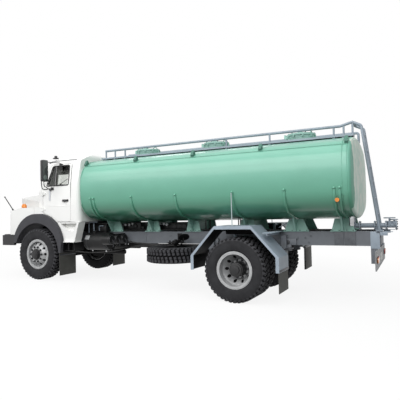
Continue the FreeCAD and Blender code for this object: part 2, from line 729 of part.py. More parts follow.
def knuckle():
    """Left steering knuckle: fork over the kingpin eye, spindle and rearward steering arm."""
    z = FRONT_AXLE_Z
    pin_bore = KINGPIN_RADIUS + PIN_CLEARANCE
    top = z + EYE_HEIGHT / 2 + FORK_GAP
    low = z - EYE_HEIGHT / 2 - FORK_GAP
    ear = 46.0
    centre = Vector(WHEELBASE, KINGPIN_Y, 0)
    pieces = []
    for z0, z1 in ((top, top + FORK_THICKNESS), (low - FORK_THICKNESS, low)):
        disc = rod(centre + Vector(0, 0, z0), centre + Vector(0, 0, z1), ear)
        bridge = block(WHEELBASE - 40, WHEELBASE + 40, KINGPIN_Y, KINGPIN_Y + 84, z0, z1)
        pieces += [disc, bridge]
    pieces.append(block(WHEELBASE - 55, WHEELBASE + 55, KINGPIN_Y + 56, KINGPIN_Y + 84,
                        low - FORK_THICKNESS, top + FORK_THICKNESS))
    pieces.append(rod(Vector(WHEELBASE, KINGPIN_Y + 60, z),
                      Vector(WHEELBASE, FRONT_WHEEL_Y + 110, z), SPINDLE_RADIUS))
    plate = rod(Vector(WHEELBASE, FRONT_WHEEL_Y - 112, z), Vector(WHEELBASE, FRONT_WHEEL_Y - 102, z),
                BACK_PLATE_RADIUS)
    plate = plate.cut(rod(centre + Vector(0, 0, low), centre + Vector(0, 0, top), EYE_RADIUS + 6))
    link = Vector(WHEELBASE - ARM_REACH, KINGPIN_Y, low - 150)
    pieces.append(plate.cut(rod(link, link + Vector(0, 0, 150), 42)))
    arm_z = low - FORK_THICKNESS
    pieces.append(block(WHEELBASE - ARM_REACH, WHEELBASE, KINGPIN_Y - 22, KINGPIN_Y + 22,
                        arm_z, arm_z + STEERING_ARM))
    end = Vector(WHEELBASE - ARM_REACH, KINGPIN_Y, 0)
    pieces.append(rod(end + Vector(0, 0, arm_z), end + Vector(0, 0, arm_z + STEERING_ARM), 28))
    body = fused(pieces)
    bore = rod(centre + Vector(0, 0, low - 60), centre + Vector(0, 0, top + 60), pin_bore)
    pin = rod(end + Vector(0, 0, arm_z - 44), end + Vector(0, 0, arm_z + 2), BALL_RADIUS)
    return body.cut(bore).fuse(pin)


def tie_rod():
    """Rod behind the axle with an eye on each steering arm's pin."""
    z = FRONT_AXLE_Z - EYE_HEIGHT / 2 - FORK_GAP - FORK_THICKNESS - 24
    x = WHEELBASE - ARM_REACH
    pieces = [rod(Vector(x, 30 - KINGPIN_Y, z), Vector(x, KINGPIN_Y - 30, z), TIE_ROD_RADIUS)]
    for y in (KINGPIN_Y, -KINGPIN_Y):
        pieces.append(rod(Vector(x, y, z - 17), Vector(x, y, z + 17), 32))
    body = fused(pieces)
    for y in (KINGPIN_Y, -KINGPIN_Y):
        body = body.cut(rod(Vector(x, y, z - 30), Vector(x, y, z + 30), BALL_RADIUS + PIN_CLEARANCE))
    return body


# Tank

def tank_corners(grow):
    """Centre of the small corner arc of the section, met by the top and side arcs."""
    half_width = TANK_HALF_WIDTH + grow
    half_height = TANK_HALF_HEIGHT + grow
    side = TANK_SIDE_RADIUS + grow
    top = TANK_TOP_RADIUS + grow
    corner = TANK_CORNER_RADIUS + grow
    top_centre = Vector(0, half_height - top, 0)
    side_centre = Vector(half_width - side, 0, 0)
    reach_top = top - corner
    reach_side = side - corner
    gap = side_centre - top_centre
    distance = gap.Length
    along = (reach_top ** 2 - reach_side ** 2 + distance ** 2) / (2 * distance)
    across = math.sqrt(reach_top ** 2 - along ** 2)
    gap.normalize()
    normal = Vector(-gap.y, gap.x, 0)
    first = top_centre + gap * along + normal * across
    second = top_centre + gap * along - normal * across
    centre = first if first.x > second.x else second
    return top_centre, side_centre, centre, top, side, corner


def tank_section(grow, x):
    """Section of the tank, grown outward by grow, as a wire at x."""
    top_centre, side_centre, centre, top, side, corner = tank_corners(grow)
    to_top = centre - top_centre
    to_top.normalize()
    to_side = centre - side_centre
    to_side.normalize()
    join_top = top_centre + to_top * top
    join_side = side_centre + to_side * side
    middle = to_top + to_side
    middle.normalize()
    bulge = centre + middle * corner

    def at(point, mirror_y, mirror_z):
        return Vector(x, point.x * mirror_y, TANK_MIDDLE_Z + point.y * mirror_z)
    crown = Vector(0, TANK_HALF_HEIGHT + grow, 0)
    flank = Vector(TANK_HALF_WIDTH + grow, 0, 0)
    edges = [Part.Arc(at(join_top, -1, 1), at(crown, 1, 1), at(join_top, 1, 1)).toShape(),
             Part.Arc(at(join_top, 1, 1), at(bulge, 1, 1), at(join_side, 1, 1)).toShape(),
             Part.Arc(at(join_side, 1, 1), at(flank, 1, 1), at(join_side, 1, -1)).toShape(),
             Part.Arc(at(join_side, 1, -1), at(bulge, 1, -1), at(join_top, 1, -1)).toShape(),
             Part.Arc(at(join_top, 1, -1), at(crown, 1, -1), at(join_top, -1, -1)).toShape(),
             Part.Arc(at(join_top, -1, -1), at(bulge, -1, -1), at(join_side, -1, -1)).toShape(),
             Part.Arc(at(join_side, -1, -1), at(flank, -1, 1), at(join_side, -1, 1)).toShape(),
             Part.Arc(at(join_side, -1, 1), at(bulge, -1, 1), at(join_top, -1, 1)).toShape()]
    return Part.Wire(edges)


def tank_prism(grow, x0, x1):
    return Part.Face(tank_section(grow, x0)).extrude(Vector(x1 - x0, 0, 0))


def dome(x, direction, depth):
    """Dished end: the section drawn in over a knuckle, then a shallow crown."""
    steps = [(0, 0), (DOME_EDGE * 0.45, KNUCKLE * 0.12), (DOME_EDGE * 0.8, KNUCKLE * 0.5),
             (DOME_EDGE, KNUCKLE)]
    for share in CROWN_SHARES:
        drawn = KNUCKLE + share * (TANK_CORNER_RADIUS - KNUCKLE - 20)
        left = (TANK_HALF_HEIGHT - drawn) / (TANK_HALF_HEIGHT - KNUCKLE)
        steps.append((DOME_EDGE + (depth - DOME_EDGE) * (1 - left ** 2), drawn))
    wires = [tank_section(-drawn, x + direction * along) for along, drawn in steps]
    return Part.makeLoft(wires, True, True)


def tank_shell():
    """Oval tank with crowned ends and the half-round ribs that run down to the saddles."""
    shell = tank_prism(0, TANK_REAR_X, TANK_FRONT_X)
    pieces = [shell, dome(TANK_FRONT_X, 1, FRONT_DOME), dome(TANK_REAR_X, -1, REAR_DOME)]
    clip = block(TANK_REAR_X, TANK_FRONT_X, -2000, 2000, -500, RIB_TOP_Z)
    for x in RIB_X:
        band = tank_prism(RIB_HEIGHT, x - RIB_WIDTH / 2, x + RIB_WIDTH / 2)
        pieces.append(band.common(clip))
    return fused(pieces)


def saddle(x, foot, neck):
    """Cross web under the tank with a trapezoid gusset and a foot on each rail."""
    reach = SADDLE_REACH_Y
    floor = FOOT_THICKNESS
    web = prism_yz([(-480, floor, 0), (480, floor, 0), (reach, TANK_MIDDLE_Z - 420, 0),
                    (reach, TANK_MIDDLE_Z, 0), (-reach, TANK_MIDDLE_Z, 0),
                    (-reach, TANK_MIDDLE_Z - 420, 0)], x - SADDLE_PLATE, x + SADDLE_PLATE)
    gusset_y = RAIL_OUTER_Y - 30
    gusset = prism_xz([(x - foot / 2, floor, 0), (x + foot / 2, floor, 0),
                       (x + neck / 2, 320, 0), (x - neck / 2, 320, 0)],
                      gusset_y, gusset_y + SADDLE_PLATE)
    shoe = block(x - foot / 2 - 15, x + foot / 2 + 15, RAIL_OUTER_Y - FOOT_WIDTH + 30,
                 RAIL_OUTER_Y + 30, SEAT_GAP, FOOT_THICKNESS)
    pieces = [web] + both_sides(gusset) + both_sides(shoe)
    body = fused(pieces)
    return body.cut(tank_prism(RIB_HEIGHT + SEAT_GAP, x - 400, x + 400))


def tank_saddles():
    return [saddle(x, foot, neck) for x, foot, neck in zip(SADDLE_X, SADDLE_FOOT, SADDLE_NECK)]


def collar(x):
    """Manhole neck standing on the tank, with the two ears and pin of its lid."""
    foot = Vector(x, 0, TANK_MIDDLE_Z + TANK_HALF_HEIGHT - 60)
    top = Vector(x, 0, COLLAR_TOP_Z)
    neck = ring(foot, top, COLLAR_RADIUS, COLLAR_RADIUS - COLLAR_WALL)
    flange = ring(top - Vector(0, 0, 16), top, COLLAR_RADIUS + COLLAR_LIP,
                  COLLAR_RADIUS - COLLAR_WALL)
    pieces = [neck, flange]
    pin_x = x + LID_HINGE_X
    for y in (-70.0, 54.0):
        pieces.append(block(x + COLLAR_RADIUS - 4, pin_x + 16, y, y + 16,
                            COLLAR_TOP_Z - 46, COLLAR_TOP_Z - 5))
        pieces.append(block(pin_x - 17, pin_x + 16, y, y + 16, COLLAR_TOP_Z - 6,
                            LID_HINGE_Z + 16))
    pin = rod(Vector(pin_x, -70, LID_HINGE_Z), Vector(pin_x, 70, LID_HINGE_Z), LID_PIN_RADIUS)
    body = fused(pieces).fuse(pin)
    return body.cut(tank_prism(0, x - 500, x + 500))


def manhole_collars():
    return [collar(x) for x in COLLAR_X]


def manhole_lid(x):
    """Dished lid with a hinge tongue, a grip and a clamp lug."""
    base = COLLAR_TOP_Z + LID_GAP
    rim = COLLAR_RADIUS + LID_LIP
    plate = revolved([(0, 0), (0, rim), (LID_THICKNESS, rim), (LID_THICKNESS, rim - 30),
                      (LID_THICKNESS + LID_CROWN, 60), (LID_THICKNESS + LID_CROWN, 0)],
                     Vector(x, 0, base), UP)
    pin_x = x + LID_HINGE_X
    tongue = block(x + 180, pin_x, -48, 48, base, base + LID_THICKNESS)
    barrel = rod(Vector(pin_x, -48, LID_HINGE_Z), Vector(pin_x, 48, LID_HINGE_Z), 17)
    crown = base + LID_THICKNESS
    grip = bent_rod([Vector(x - 190, -60, crown), Vector(x - 190, -60, crown + 50),
                     Vector(x - 190, 60, crown + 50), Vector(x - 190, 60, crown)], 8, 20)
    body = fused([plate, tongue, barrel, grip])
    relief = rod(Vector(pin_x, -60, LID_HINGE_Z), Vector(pin_x, 60, LID_HINGE_Z),
                 LID_PIN_RADIUS + PIN_CLEARANCE)
    return body.cut(relief)


def lug_centre():
    """Middle of a diamond lug that stands half out of the rounded shoulder."""
    turn = math.radians(LUG_ANGLE)
    reach = TANK_CORNER_RADIUS + LUG_STAND
    return tank_corners(0)[2] + Vector(math.sin(turn), math.cos(turn), 0) * reach


def lifting_lugs():
    """Diamond blocks standing on the shoulders of the tank."""
    spot = lug_centre()
    y, z = spot.x, TANK_MIDDLE_Z + spot.y
    shapes = []
    for x in LUG_X:
        plate = prism_yz([(y - LUG_HALF_WIDTH, z, 6), (y, z - LUG_HALF_HEIGHT, 6),
                          (y + LUG_HALF_WIDTH, z, 6), (y, z + LUG_HALF_HEIGHT, 6)],
                         x - LUG_THICKNESS / 2, x + LUG_THICKNESS / 2)
        plate = plate.cut(tank_prism(0, x - 100, x + 100))
        shapes += both_sides(plate)
    return shapes


# Walkway, rails and ladder

def walkway():
    """Two tread strips along the top of the tank with their supports."""
    y0, y1 = WALKWAY_Y
    z0, z1 = WALKWAY_Z
    strip = block(WALKWAY_X[0], WALKWAY_X[1], y0, y1, z0, z1)
    tray = block(WALKWAY_X[0] + 6, WALKWAY_X[1] - 6, y0 + 6, y1 - 6, z0 - 1, z1 - 12)
    pieces = [strip.cut(tray)]
    for x in POSTS_X:
        stand = block(x - 25, x + 25, y0 + 20, y1 - 20, TANK_MIDDLE_Z, z0 + 30)
        pieces.append(stand)
    body = fused(pieces).cut(tank_prism(0, TANK_REAR_X - 200, TANK_FRONT_X + 200))
    return both_sides(body)


def stile_points(y):
    """Peak, upper bend and foot of a ladder stile."""
    return [Vector(PEAK_X, y, HANDRAIL_Z + PEAK_RISE), Vector(STILE_TOP[0], y, STILE_TOP[1]),
            Vector(STILE_FOOT[0], y, STILE_FOOT[1])]


def handrail(y):
    """Top rail of one side, rising over the rear and leaning down as a ladder stile."""
    points = [Vector(HANDRAIL_FRONT_X, y, HANDRAIL_Z), Vector(POSTS_X[-1] + 60, y, HANDRAIL_Z)]
    return bent_rod(points + stile_points(y), RAIL_TUBE_RADIUS, 60)


def rails_and_ladder():
    left = [handrail(HANDRAIL_Y)]
    top = WALKWAY_Z[1] + SEAT_GAP
    for x in POSTS_X + (PEAK_X,):
        height = HANDRAIL_Z + (PEAK_RISE if x == PEAK_X else 0)
        left.append(rod(Vector(x, HANDRAIL_Y, top), Vector(x, HANDRAIL_Y, height), POST_RADIUS))
    far_points = [Vector(HANDRAIL_FRONT_X, -HANDRAIL_Y, HANDRAIL_Z),
                  Vector(PEAK_X, -HANDRAIL_Y, HANDRAIL_Z), Vector(PEAK_X, -HANDRAIL_Y, top)]
    right = [bent_rod(far_points, RAIL_TUBE_RADIUS, 40)]
    for x in POSTS_X:
        right.append(rod(Vector(x, -HANDRAIL_Y, top), Vector(x, -HANDRAIL_Y, HANDRAIL_Z),
                         POST_RADIUS))
    left.append(bent_rod(stile_points(LADDER_Y[0]), RAIL_TUBE_RADIUS, 60))
    left.append(rod(Vector(PEAK_X, LADDER_Y[0], HANDRAIL_Z + PEAK_RISE),
                    Vector(PEAK_X, LADDER_Y[1], HANDRAIL_Z + PEAK_RISE), RAIL_TUBE_RADIUS))
    run = Vector(STILE_FOOT[0] - STILE_TOP[0], 0, STILE_FOOT[1] - STILE_TOP[1])
    for index in range(LADDER_RUNGS):
        spot = Vector(STILE_TOP[0], 0, STILE_TOP[1]) + run * ((index + 0.5) / (LADDER_RUNGS + 0.5))
        left.append(rod(spot + ACROSS * LADDER_Y[0], spot + ACROSS * LADDER_Y[1], RUNG_RADIUS))
    for y in LADDER_Y:
        left.append(block(STILE_FOOT[0] - 58, STILE_FOOT[0] + 52, y - 30, y + 30, SEAT_GAP, 28))
    return [fused(left), fused(right)]


# Cab

def cab_side_view():
    return [(CAB_REAR_X, CAB_BOTTOM_Z, 20), (CAB_FRONT_X, CAB_BOTTOM_Z, 20),
            (CAB_FRONT_X, COWL_TOP_Z, 40), (cab_x(1215), COWL_TOP_Z + 45, 30), (cab_x(970), 1640, 40),
            (cab_x(950), 1802, 100), (cab_x(490), 1900, 1500), (CAB_REAR_X, 1790, 120)]


def cab_front_view():
    rise = 2 * (ROOF_CROWN_Z - GUTTER_Z)
    side = [(CAB_HALF_WIDTH, CAB_BOTTOM_Z, 20), (CAB_HALF_WIDTH, WING_TOP_Z + 40, 400),
            (CAB_HALF_WIDTH - 18, BELT_Z, 600), (GUTTER_HALF_WIDTH, GUTTER_Z, 90)]
    other = [(-y, z, r) for y, z, r in reversed(side)]
    return side + [(0, GUTTER_Z + rise, 2150)] + other


def cab_plan_upper():
    nose = COWL_HALF_WIDTH
    return [(CAB_REAR_X, -CAB_HALF_WIDTH, 120), (DOOR_FRONT_X + 20, -CAB_HALF_WIDTH, 60),
            (CAB_FRONT_X, -nose, 30), (CAB_FRONT_X, nose, 30),
            (DOOR_FRONT_X + 20, CAB_HALF_WIDTH, 60), (CAB_REAR_X, CAB_HALF_WIDTH, 120)]


def cab_plan_lower():
    return [(CAB_REAR_X, -CAB_HALF_WIDTH, 120), (CAB_FRONT_X - 40, -CAB_HALF_WIDTH, 20),
            (CAB_FRONT_X - 40, CAB_HALF_WIDTH, 20), (CAB_REAR_X, CAB_HALF_WIDTH, 120)]


def cab_body(depth):
    """Outer form of the cab, moved inward by depth on every side."""
    wide = CAB_HALF_WIDTH + 10
    side_view = prism_xz(inset_corners(cab_side_view(), depth), -wide, wide)
    front_view = prism_yz(inset_corners(cab_front_view(), depth), CAB_REAR_X - 10,
                          CAB_FRONT_X + 10)
    shelf = WING_TOP_Z - depth
    low = prism_xy(inset_corners(cab_plan_lower(), depth), 0, shelf)
    high = prism_xy(inset_corners(cab_plan_upper(), depth), shelf, 2200)
    return side_view.common(front_view).common(low.fuse(high).removeSplitter())


def door_outline(grow):
    corners = [(DOOR_REAR_X, DOOR_BOTTOM_Z, 25), (DOOR_FRONT_X, DOOR_BOTTOM_Z, 0),
               (DOOR_FRONT_X, 1010, 40), (cab_x(870), DOOR_TOP_Z, 50), (DOOR_REAR_X, DOOR_TOP_Z, 70)]
    return inset_corners(corners, -grow)


def arch_cylinder(radius, y0, y1):
    return rod(Vector(WHEELBASE, y0, ARCH_Z), Vector(WHEELBASE, y1, ARCH_Z), radius)


def door_prism(grow):
    """Cutter in the form of the door, clear of the floor inside the skin."""
    whole = prism_xz(door_outline(grow), 600, 1300)
    floor = block(DOOR_REAR_X - 100, DOOR_FRONT_X + 100, 500, CAB_HALF_WIDTH - CAB_WALL - grow,
                  0, CAB_BOTTOM_Z + CAB_WALL)
    return whole.cut(arch_cylinder(DOOR_ARCH_RADIUS - grow, 500, 1400)).cut(floor)


def window_prism():
    """Quarter light and main side window, with the divider between them."""
    half = DIVIDER_WIDTH / 2
    main = [(cab_x(345), 1095, 35), (DIVIDER_X - half, 1095, 12), (DIVIDER_X - half, 1525, 12),
            (cab_x(320), 1525, 35)]
    quarter = [(DIVIDER_X + half, 1095, 12), (cab_x(960), 1095, 30), (cab_x(812), 1525, 20),
               (DIVIDER_X + half, 1525, 12)]
    return [prism_xz(main, 800, 1300), prism_xz(quarter, 800, 1300)]


def windscreen_prism():
    return prism_yz([(-900, 1050, 70), (900, 1050, 70), (845, 1590, 70), (-845, 1590, 70)],
                    cab_x(860), cab_x(1310))


def rear_window_prism():
    return prism_yz([(-520, 1130, 60), (520, 1130, 60), (500, 1480, 60), (-500, 1480, 60)],
                    CAB_REAR_X - 20, CAB_REAR_X + 100)


def cab_wall():
    return cab_body(0).cut(cab_body(CAB_WALL))


def hinge_barrel(z, radius, length):
    low = Vector(HINGE_X, HINGE_Y, z - length / 2)
    return rod(low, low + Vector(0, 0, length), radius)


def door_hinge_pins():
    """Pin and its two cab-side leaves at each door hinge."""
    pieces = []
    for z in HINGE_Z:
        pieces.append(hinge_barrel(z, HINGE_PIN_RADIUS, HINGE_LENGTH))
        for end in (z - HINGE_LENGTH / 2, z + HINGE_LENGTH / 2 - 24):
            leaf_block = block(HINGE_X, HINGE_X + 60, CAB_HALF_WIDTH - 20, HINGE_Y, end, end + 24)
            low = Vector(HINGE_X, HINGE_Y, end)
            pieces += [leaf_block, rod(low, low + Vector(0, 0, 24), HINGE_BARREL_RADIUS)]
    return pieces


def bonnet_hinge_point():
    return Vector(BONNET_HINGE_X, 0, BONNET_HINGE_Z)


def bonnet_pins():
    """Two pins on the cowl that carry the bonnet."""
    pieces = []
    spot = bonnet_hinge_point()
    for side in (1, -1):
        middle = spot + Vector(0, side * BONNET_HINGE_Y, 0)
        pieces.append(rod(middle - Vector(0, 45, 0), middle + Vector(0, 45, 0),
                          BONNET_PIN_RADIUS))
        for y in (-45, 33):
            ear = block(CAB_FRONT_X - 10, spot.x, middle.y + y, middle.y + y + 12,
                        spot.z - 11, spot.z + 2)
            low = middle + Vector(0, y, 0)
            pieces += [ear, rod(low, low + Vector(0, 12, 0), 11)]
    return pieces


def cab_shell():
    """Hollow cab with floor, firewall, roof and posts; doors and windows are cut out."""
    wall = cab_wall()
    opening = door_prism(DOOR_GAP)
    rebate = door_prism(REBATE_GAP).common(cab_body(REBATE_DEPTH))
    for cutter in (opening, rebate):
        wall = wall.cut(cutter).cut(mirrored(cutter))
    wall = wall.cut(windscreen_prism()).cut(rear_window_prism())
    hinge_room = [hinge_barrel(z, HINGE_BARREL_RADIUS + 6, HINGE_LENGTH + 16) for z in HINGE_Z]
    for cutter in hinge_room:
        wall = wall.cut(cutter).cut(mirrored(cutter))
    pins = []
    for piece in door_hinge_pins():
        pins += both_sides(piece)
    mount = block(cab_x(110), cab_x(210), RAIL_OUTER_Y - 70, RAIL_OUTER_Y - 10, SEAT_GAP,
                  CAB_BOTTOM_Z + 10)
    return fused([wall] + pins + bonnet_pins() + both_sides(mount))


def door():
    """Left door: outer skin to inner trim, with window openings, hinge eyes and handle."""
    panel = cab_wall().common(door_prism(0))
    for cutter in window_prism():
        panel = panel.cut(cutter)
    pieces = [panel]
    for z in HINGE_Z:
        length = HINGE_LENGTH - 2 * 24 - 4
        tab = block(HINGE_X - 70, HINGE_X, CAB_HALF_WIDTH - 12, HINGE_Y, z - length / 2,
                    z + length / 2)
        pieces += [tab, hinge_barrel(z, HINGE_BARREL_RADIUS, length)]
    root, reach = CAB_HALF_WIDTH - 15, CAB_HALF_WIDTH + 40
    grip = bent_rod([Vector(cab_x(320), root, 735), Vector(cab_x(320), reach, 735),
                     Vector(cab_x(450), reach, 728), Vector(cab_x(450), root, 728)], 11, 16)
    pieces.append(grip)
    body = fused(pieces)
    for z in HINGE_Z:
        body = body.cut(hinge_barrel(z, HINGE_PIN_RADIUS + PIN_CLEARANCE, HINGE_LENGTH + 10))
    return body


def glass_layer():
    return cab_body(GLASS_INSET).cut(cab_body(GLASS_INSET + GLASS_WALL))


def door_glass():
    layer = glass_layer()
    return [layer.common(cutter) for cutter in window_prism()]


def cab_glass():
    layer = glass_layer()
    return [layer.common(windscreen_prism()), layer.common(rear_window_prism())]


def mirror():
    """Left mirror: tall head on a bent tube held at the door's top and belt."""
    z0, z1 = MIRROR_Z
    inner = MIRROR_Y - MIRROR_HALF_WIDTH
    outer = MIRROR_Y + MIRROR_HALF_WIDTH
    head = prism_yz([(inner, z0, 30), (outer, z0, 30), (outer, z1, 30), (inner, z1, 30)],
                    MIRROR_X, MIRROR_X + 60)
    side = CAB_HALF_WIDTH
    upper = bent_rod([Vector(cab_x(520), side - 90, 1560), Vector(cab_x(560), side, 1590),
                      Vector(cab_x(800), side + 60, 1620),
                      Vector(MIRROR_X + 45, MIRROR_Y, z1 - 40)], 9, 25)
    lower = bent_rod([Vector(MIRROR_X + 45, MIRROR_Y, z0 + 60),
                      Vector(MIRROR_X + 45, MIRROR_Y, MIRROR_ARM_Z + 45),
                      Vector(cab_x(780), side + 110, MIRROR_ARM_Z - 25),
                      Vector(cab_x(790), side - 25, MIRROR_ARM_Z)], 9, 25)
    foot = block(cab_x(750), cab_x(830), side - 35, side - 2, 985, 1050)
    return fused([head, upper, lower, foot]).cut(cab_body(-SEAT_GAP))


def cab_interior():
    """Seats, bench, dashboard and steering column on the cab floor."""
    floor = CAB_BOTTOM_Z + CAB_WALL + SEAT_GAP
    pieces = []
    for y0, y1 in ((320, 790), (-860, 120)):
        cushion = block(cab_x(270), cab_x(740), y0, y1, 560, 690)
        back = block(cab_x(190), cab_x(300), y0, y1, 640, 1240)
        base = block(cab_x(310), cab_x(710), y0 + 80, y1 - 60, floor, 570)
        pieces.append(fused([cushion, back, base]))
    dash_front = CAB_FRONT_X - CAB_WALL - SEAT_GAP
    dash_rear = cab_x(1070)
    dash = prism_xz([(dash_front, 640, 0), (dash_front, 915, 20), (cab_x(1240), 960, 20),
                     (dash_rear, 920, 40), (dash_rear + 40, 640, 20)], -850, 850)
    column = rod(column_end(), column_end() - column_direction() * 330, 24)
    stub = rod(column_end() - column_direction() * 2, column_end() + column_direction() * 34, 12)
    pieces.append(fused([dash, column, stub]))
    return pieces


def column_direction():
    """Along the steering column, towards the driver."""
    tilt = math.radians(COLUMN_TILT)
    return Vector(-math.cos(tilt), 0, math.sin(tilt))


def column_end():
    return Vector(cab_x(900), 555, 960)


def steering_wheel():
    """Rim with three spokes and a hub bored for the column."""
    centre = column_end() + column_direction() * 14
    torus = Part.makeTorus(225, 14, Vector(0, 0, 0), UP)
    hub = Part.makeCylinder(38, 34, Vector(0, 0, -8), UP)
    pieces = [torus, hub]
    for index in range(3):
        turn = Rotation(UP, 90 + 120 * index)
        pieces.append(rod(Vector(0, 0, 4), turn.multVec(Vector(226, 0, 0)), 9))
    body = fused(pieces).cut(Part.makeCylinder(12 + PIN_CLEARANCE, 60, Vector(0, 0, -30), UP))
    body.Placement = Placement(centre, Rotation(UP, column_direction()))
    return body


# Bonnet, wings, grille and bumper

def wing_top_z(x):
    """Height of the wing tops: level by the cab, falling towards the nose."""
    return WING_TOP_Z - max(0.0, x - WING_BREAK_X) * WING_FALL


def bonnet_side(depth):
    """Side view of the bonnet, open at the bottom where it is moved inward by depth."""
    corners = [(BONNET_REAR_X + BONNET_GAP, WING_TOP_Z + BONNET_GAP, 0),
               (WING_BREAK_X, WING_TOP_Z + BONNET_GAP, 0),
               (BONNET_FRONT_X, wing_top_z(BONNET_FRONT_X) + BONNET_GAP, 0),
               (BONNET_FRONT_X - 10, 700, 250),
               (BONNET_FRONT_X - 90, BONNET_CROWN_Z - BONNET_NOSE_FALL, 150),
               (BONNET_REAR_X + BONNET_GAP, BONNET_CROWN_Z, 0)]
    moved = inset_corners(corners, depth)
    drop = 2 * depth
    return [(u, v - drop, r) for u, v, r in moved[:3]] + moved[3:]


def bonnet_body(depth):
    side = bonnet_side(depth)
    wide = 1200
    side_view = prism_xz(side, -wide, wide)
    crown = BONNET_CROWN_Z + 10
    front = [(BONNET_REAR_HALF_WIDTH + 20, WING_TOP_Z - 100, 0),
             (BONNET_REAR_HALF_WIDTH, 760, 90), (0, crown + 150, 1500),
             (-BONNET_REAR_HALF_WIDTH, 760, 90), (-BONNET_REAR_HALF_WIDTH - 20, WING_TOP_Z - 100, 0)]
    front_view = prism_yz(inset_corners(front, depth), BONNET_REAR_X - 50, BONNET_FRONT_X + 50)
    plan = [(BONNET_REAR_X - 20, -BONNET_REAR_HALF_WIDTH, 0),
            (BONNET_FRONT_X - 60, -BONNET_FRONT_HALF_WIDTH, 160),
            (BONNET_FRONT_X + 30, 0, 2500),
            (BONNET_FRONT_X - 60, BONNET_FRONT_HALF_WIDTH, 160),
            (BONNET_REAR_X - 20, BONNET_REAR_HALF_WIDTH, 0)]
    plan_view = prism_xy(inset_corners(plan, depth), 300, 1400)
    return side_view.common(front_view).common(plan_view)


def bonnet():
    """Hollow bonnet lid with hinge eyes at its rear edge."""
    shell = bonnet_body(0).cut(bonnet_body(BONNET_WALL))
    spot = bonnet_hinge_point()
    pieces = [shell]
    for side in (1, -1):
        middle = spot + Vector(0, side * BONNET_HINGE_Y, 0)
        room = rod(middle - Vector(0, 52, 0), middle + Vector(0, 52, 0), 24)
        behind = block(CAB_FRONT_X, spot.x, middle.y - 52, middle.y + 52, spot.z - 24, spot.z + 24)
        pieces[0] = pieces[0].cut(room).cut(behind)
        eye = rod(middle - Vector(0, 26, 0), middle + Vector(0, 26, 0), 13)
        strap = block(spot.x, spot.x + 80, middle.y - 26, middle.y + 26, spot.z - 13, spot.z + 12)
        pieces += [eye, strap]
    body = fused(pieces)
    for side in (1, -1):
        middle = spot + Vector(0, side * BONNET_HINGE_Y, 0)
        body = body.cut(rod(middle - Vector(0, 60, 0), middle + Vector(0, 60, 0),
                            BONNET_PIN_RADIUS + PIN_CLEARANCE))
    return body


def wings_plan():
    return [(CAB_FRONT_X - 34, -CAB_HALF_WIDTH, 10), (WING_FRONT_X - 20, -CAB_HALF_WIDTH, 110),
            (NOSE_X + 60, 0, 3000), (WING_FRONT_X - 20, CAB_HALF_WIDTH, 110),
            (CAB_FRONT_X - 34, CAB_HALF_WIDTH, 10)]


def wings_side(depth):
    """Side view of the wings, open at the bottom where it is moved inward by depth."""
    ahead = BUMPER_FRONT_X
    corners = [(CAB_FRONT_X - 200, WING_BOTTOM_Z, 0), (ahead, WING_BOTTOM_Z, 0),
               (ahead, wing_top_z(ahead), 0), (WING_BREAK_X, WING_TOP_Z, 500),
               (CAB_FRONT_X - 200, WING_TOP_Z, 0)]
    moved = inset_corners(corners, depth)
    return [(u, v - 2 * depth, r) for u, v, r in moved[:2]] + moved[2:]


def above_wings(shape):
    """The part of a shape that stands above the wing tops."""
    return shape.cut(prism_xz(wings_side(-SEAT_GAP), 0, CAB_HALF_WIDTH + 100))


def front_wings():
    """Both front wings and the nose panel between them."""
    wide = CAB_HALF_WIDTH + 10
    outer = prism_xy(wings_plan(), WING_BOTTOM_Z, WING_TOP_Z)
    outer = outer.common(prism_xz(wings_side(0), -wide, wide))
    inner = prism_xy(inset_corners(wings_plan(), WING_WALL), WING_BOTTOM_Z - 50,
                     WING_TOP_Z - WING_WALL)
    inner = inner.common(prism_xz(wings_side(WING_WALL), -wide, wide))
    inner = inner.fuse(block(CAB_FRONT_X - 60, CAB_FRONT_X + 10, WING_WALL - CAB_HALF_WIDTH,
                             CAB_HALF_WIDTH - WING_WALL, WING_BOTTOM_Z - 50,
                             WING_TOP_Z - WING_WALL))
    body = outer.cut(inner)
    body = body.cut(arch_cylinder(ARCH_RADIUS, -1400, 1400))
    rear_half = BONNET_REAR_HALF_WIDTH - 60
    front_half = BONNET_FRONT_HALF_WIDTH - 40
    well = prism_xy([(CAB_FRONT_X - 60, -rear_half, 0), (cab_x(2140), -front_half, 40),
                     (cab_x(2140), front_half, 40), (CAB_FRONT_X - 60, rear_half, 0)],
                    WING_TOP_Z - 130, WING_TOP_Z + 60)
    body = body.cut(well)
    body = body.cut(prism_yz(mouth_outline(0), GRILLE_X[0] - 60, BUMPER_FRONT_X))
    for side in (1, -1):
        eye = Vector(cab_x(2010), side * LAMP_Y, LAMP_Z)
        body = body.cut(rod(eye, eye + Vector(500, 0, 0), LAMP_RADIUS))
    body = body.cut(cab_body(-SEAT_GAP))
    solids = sorted(body.Solids, key=lambda solid: -solid.Volume)
    return solids[0]


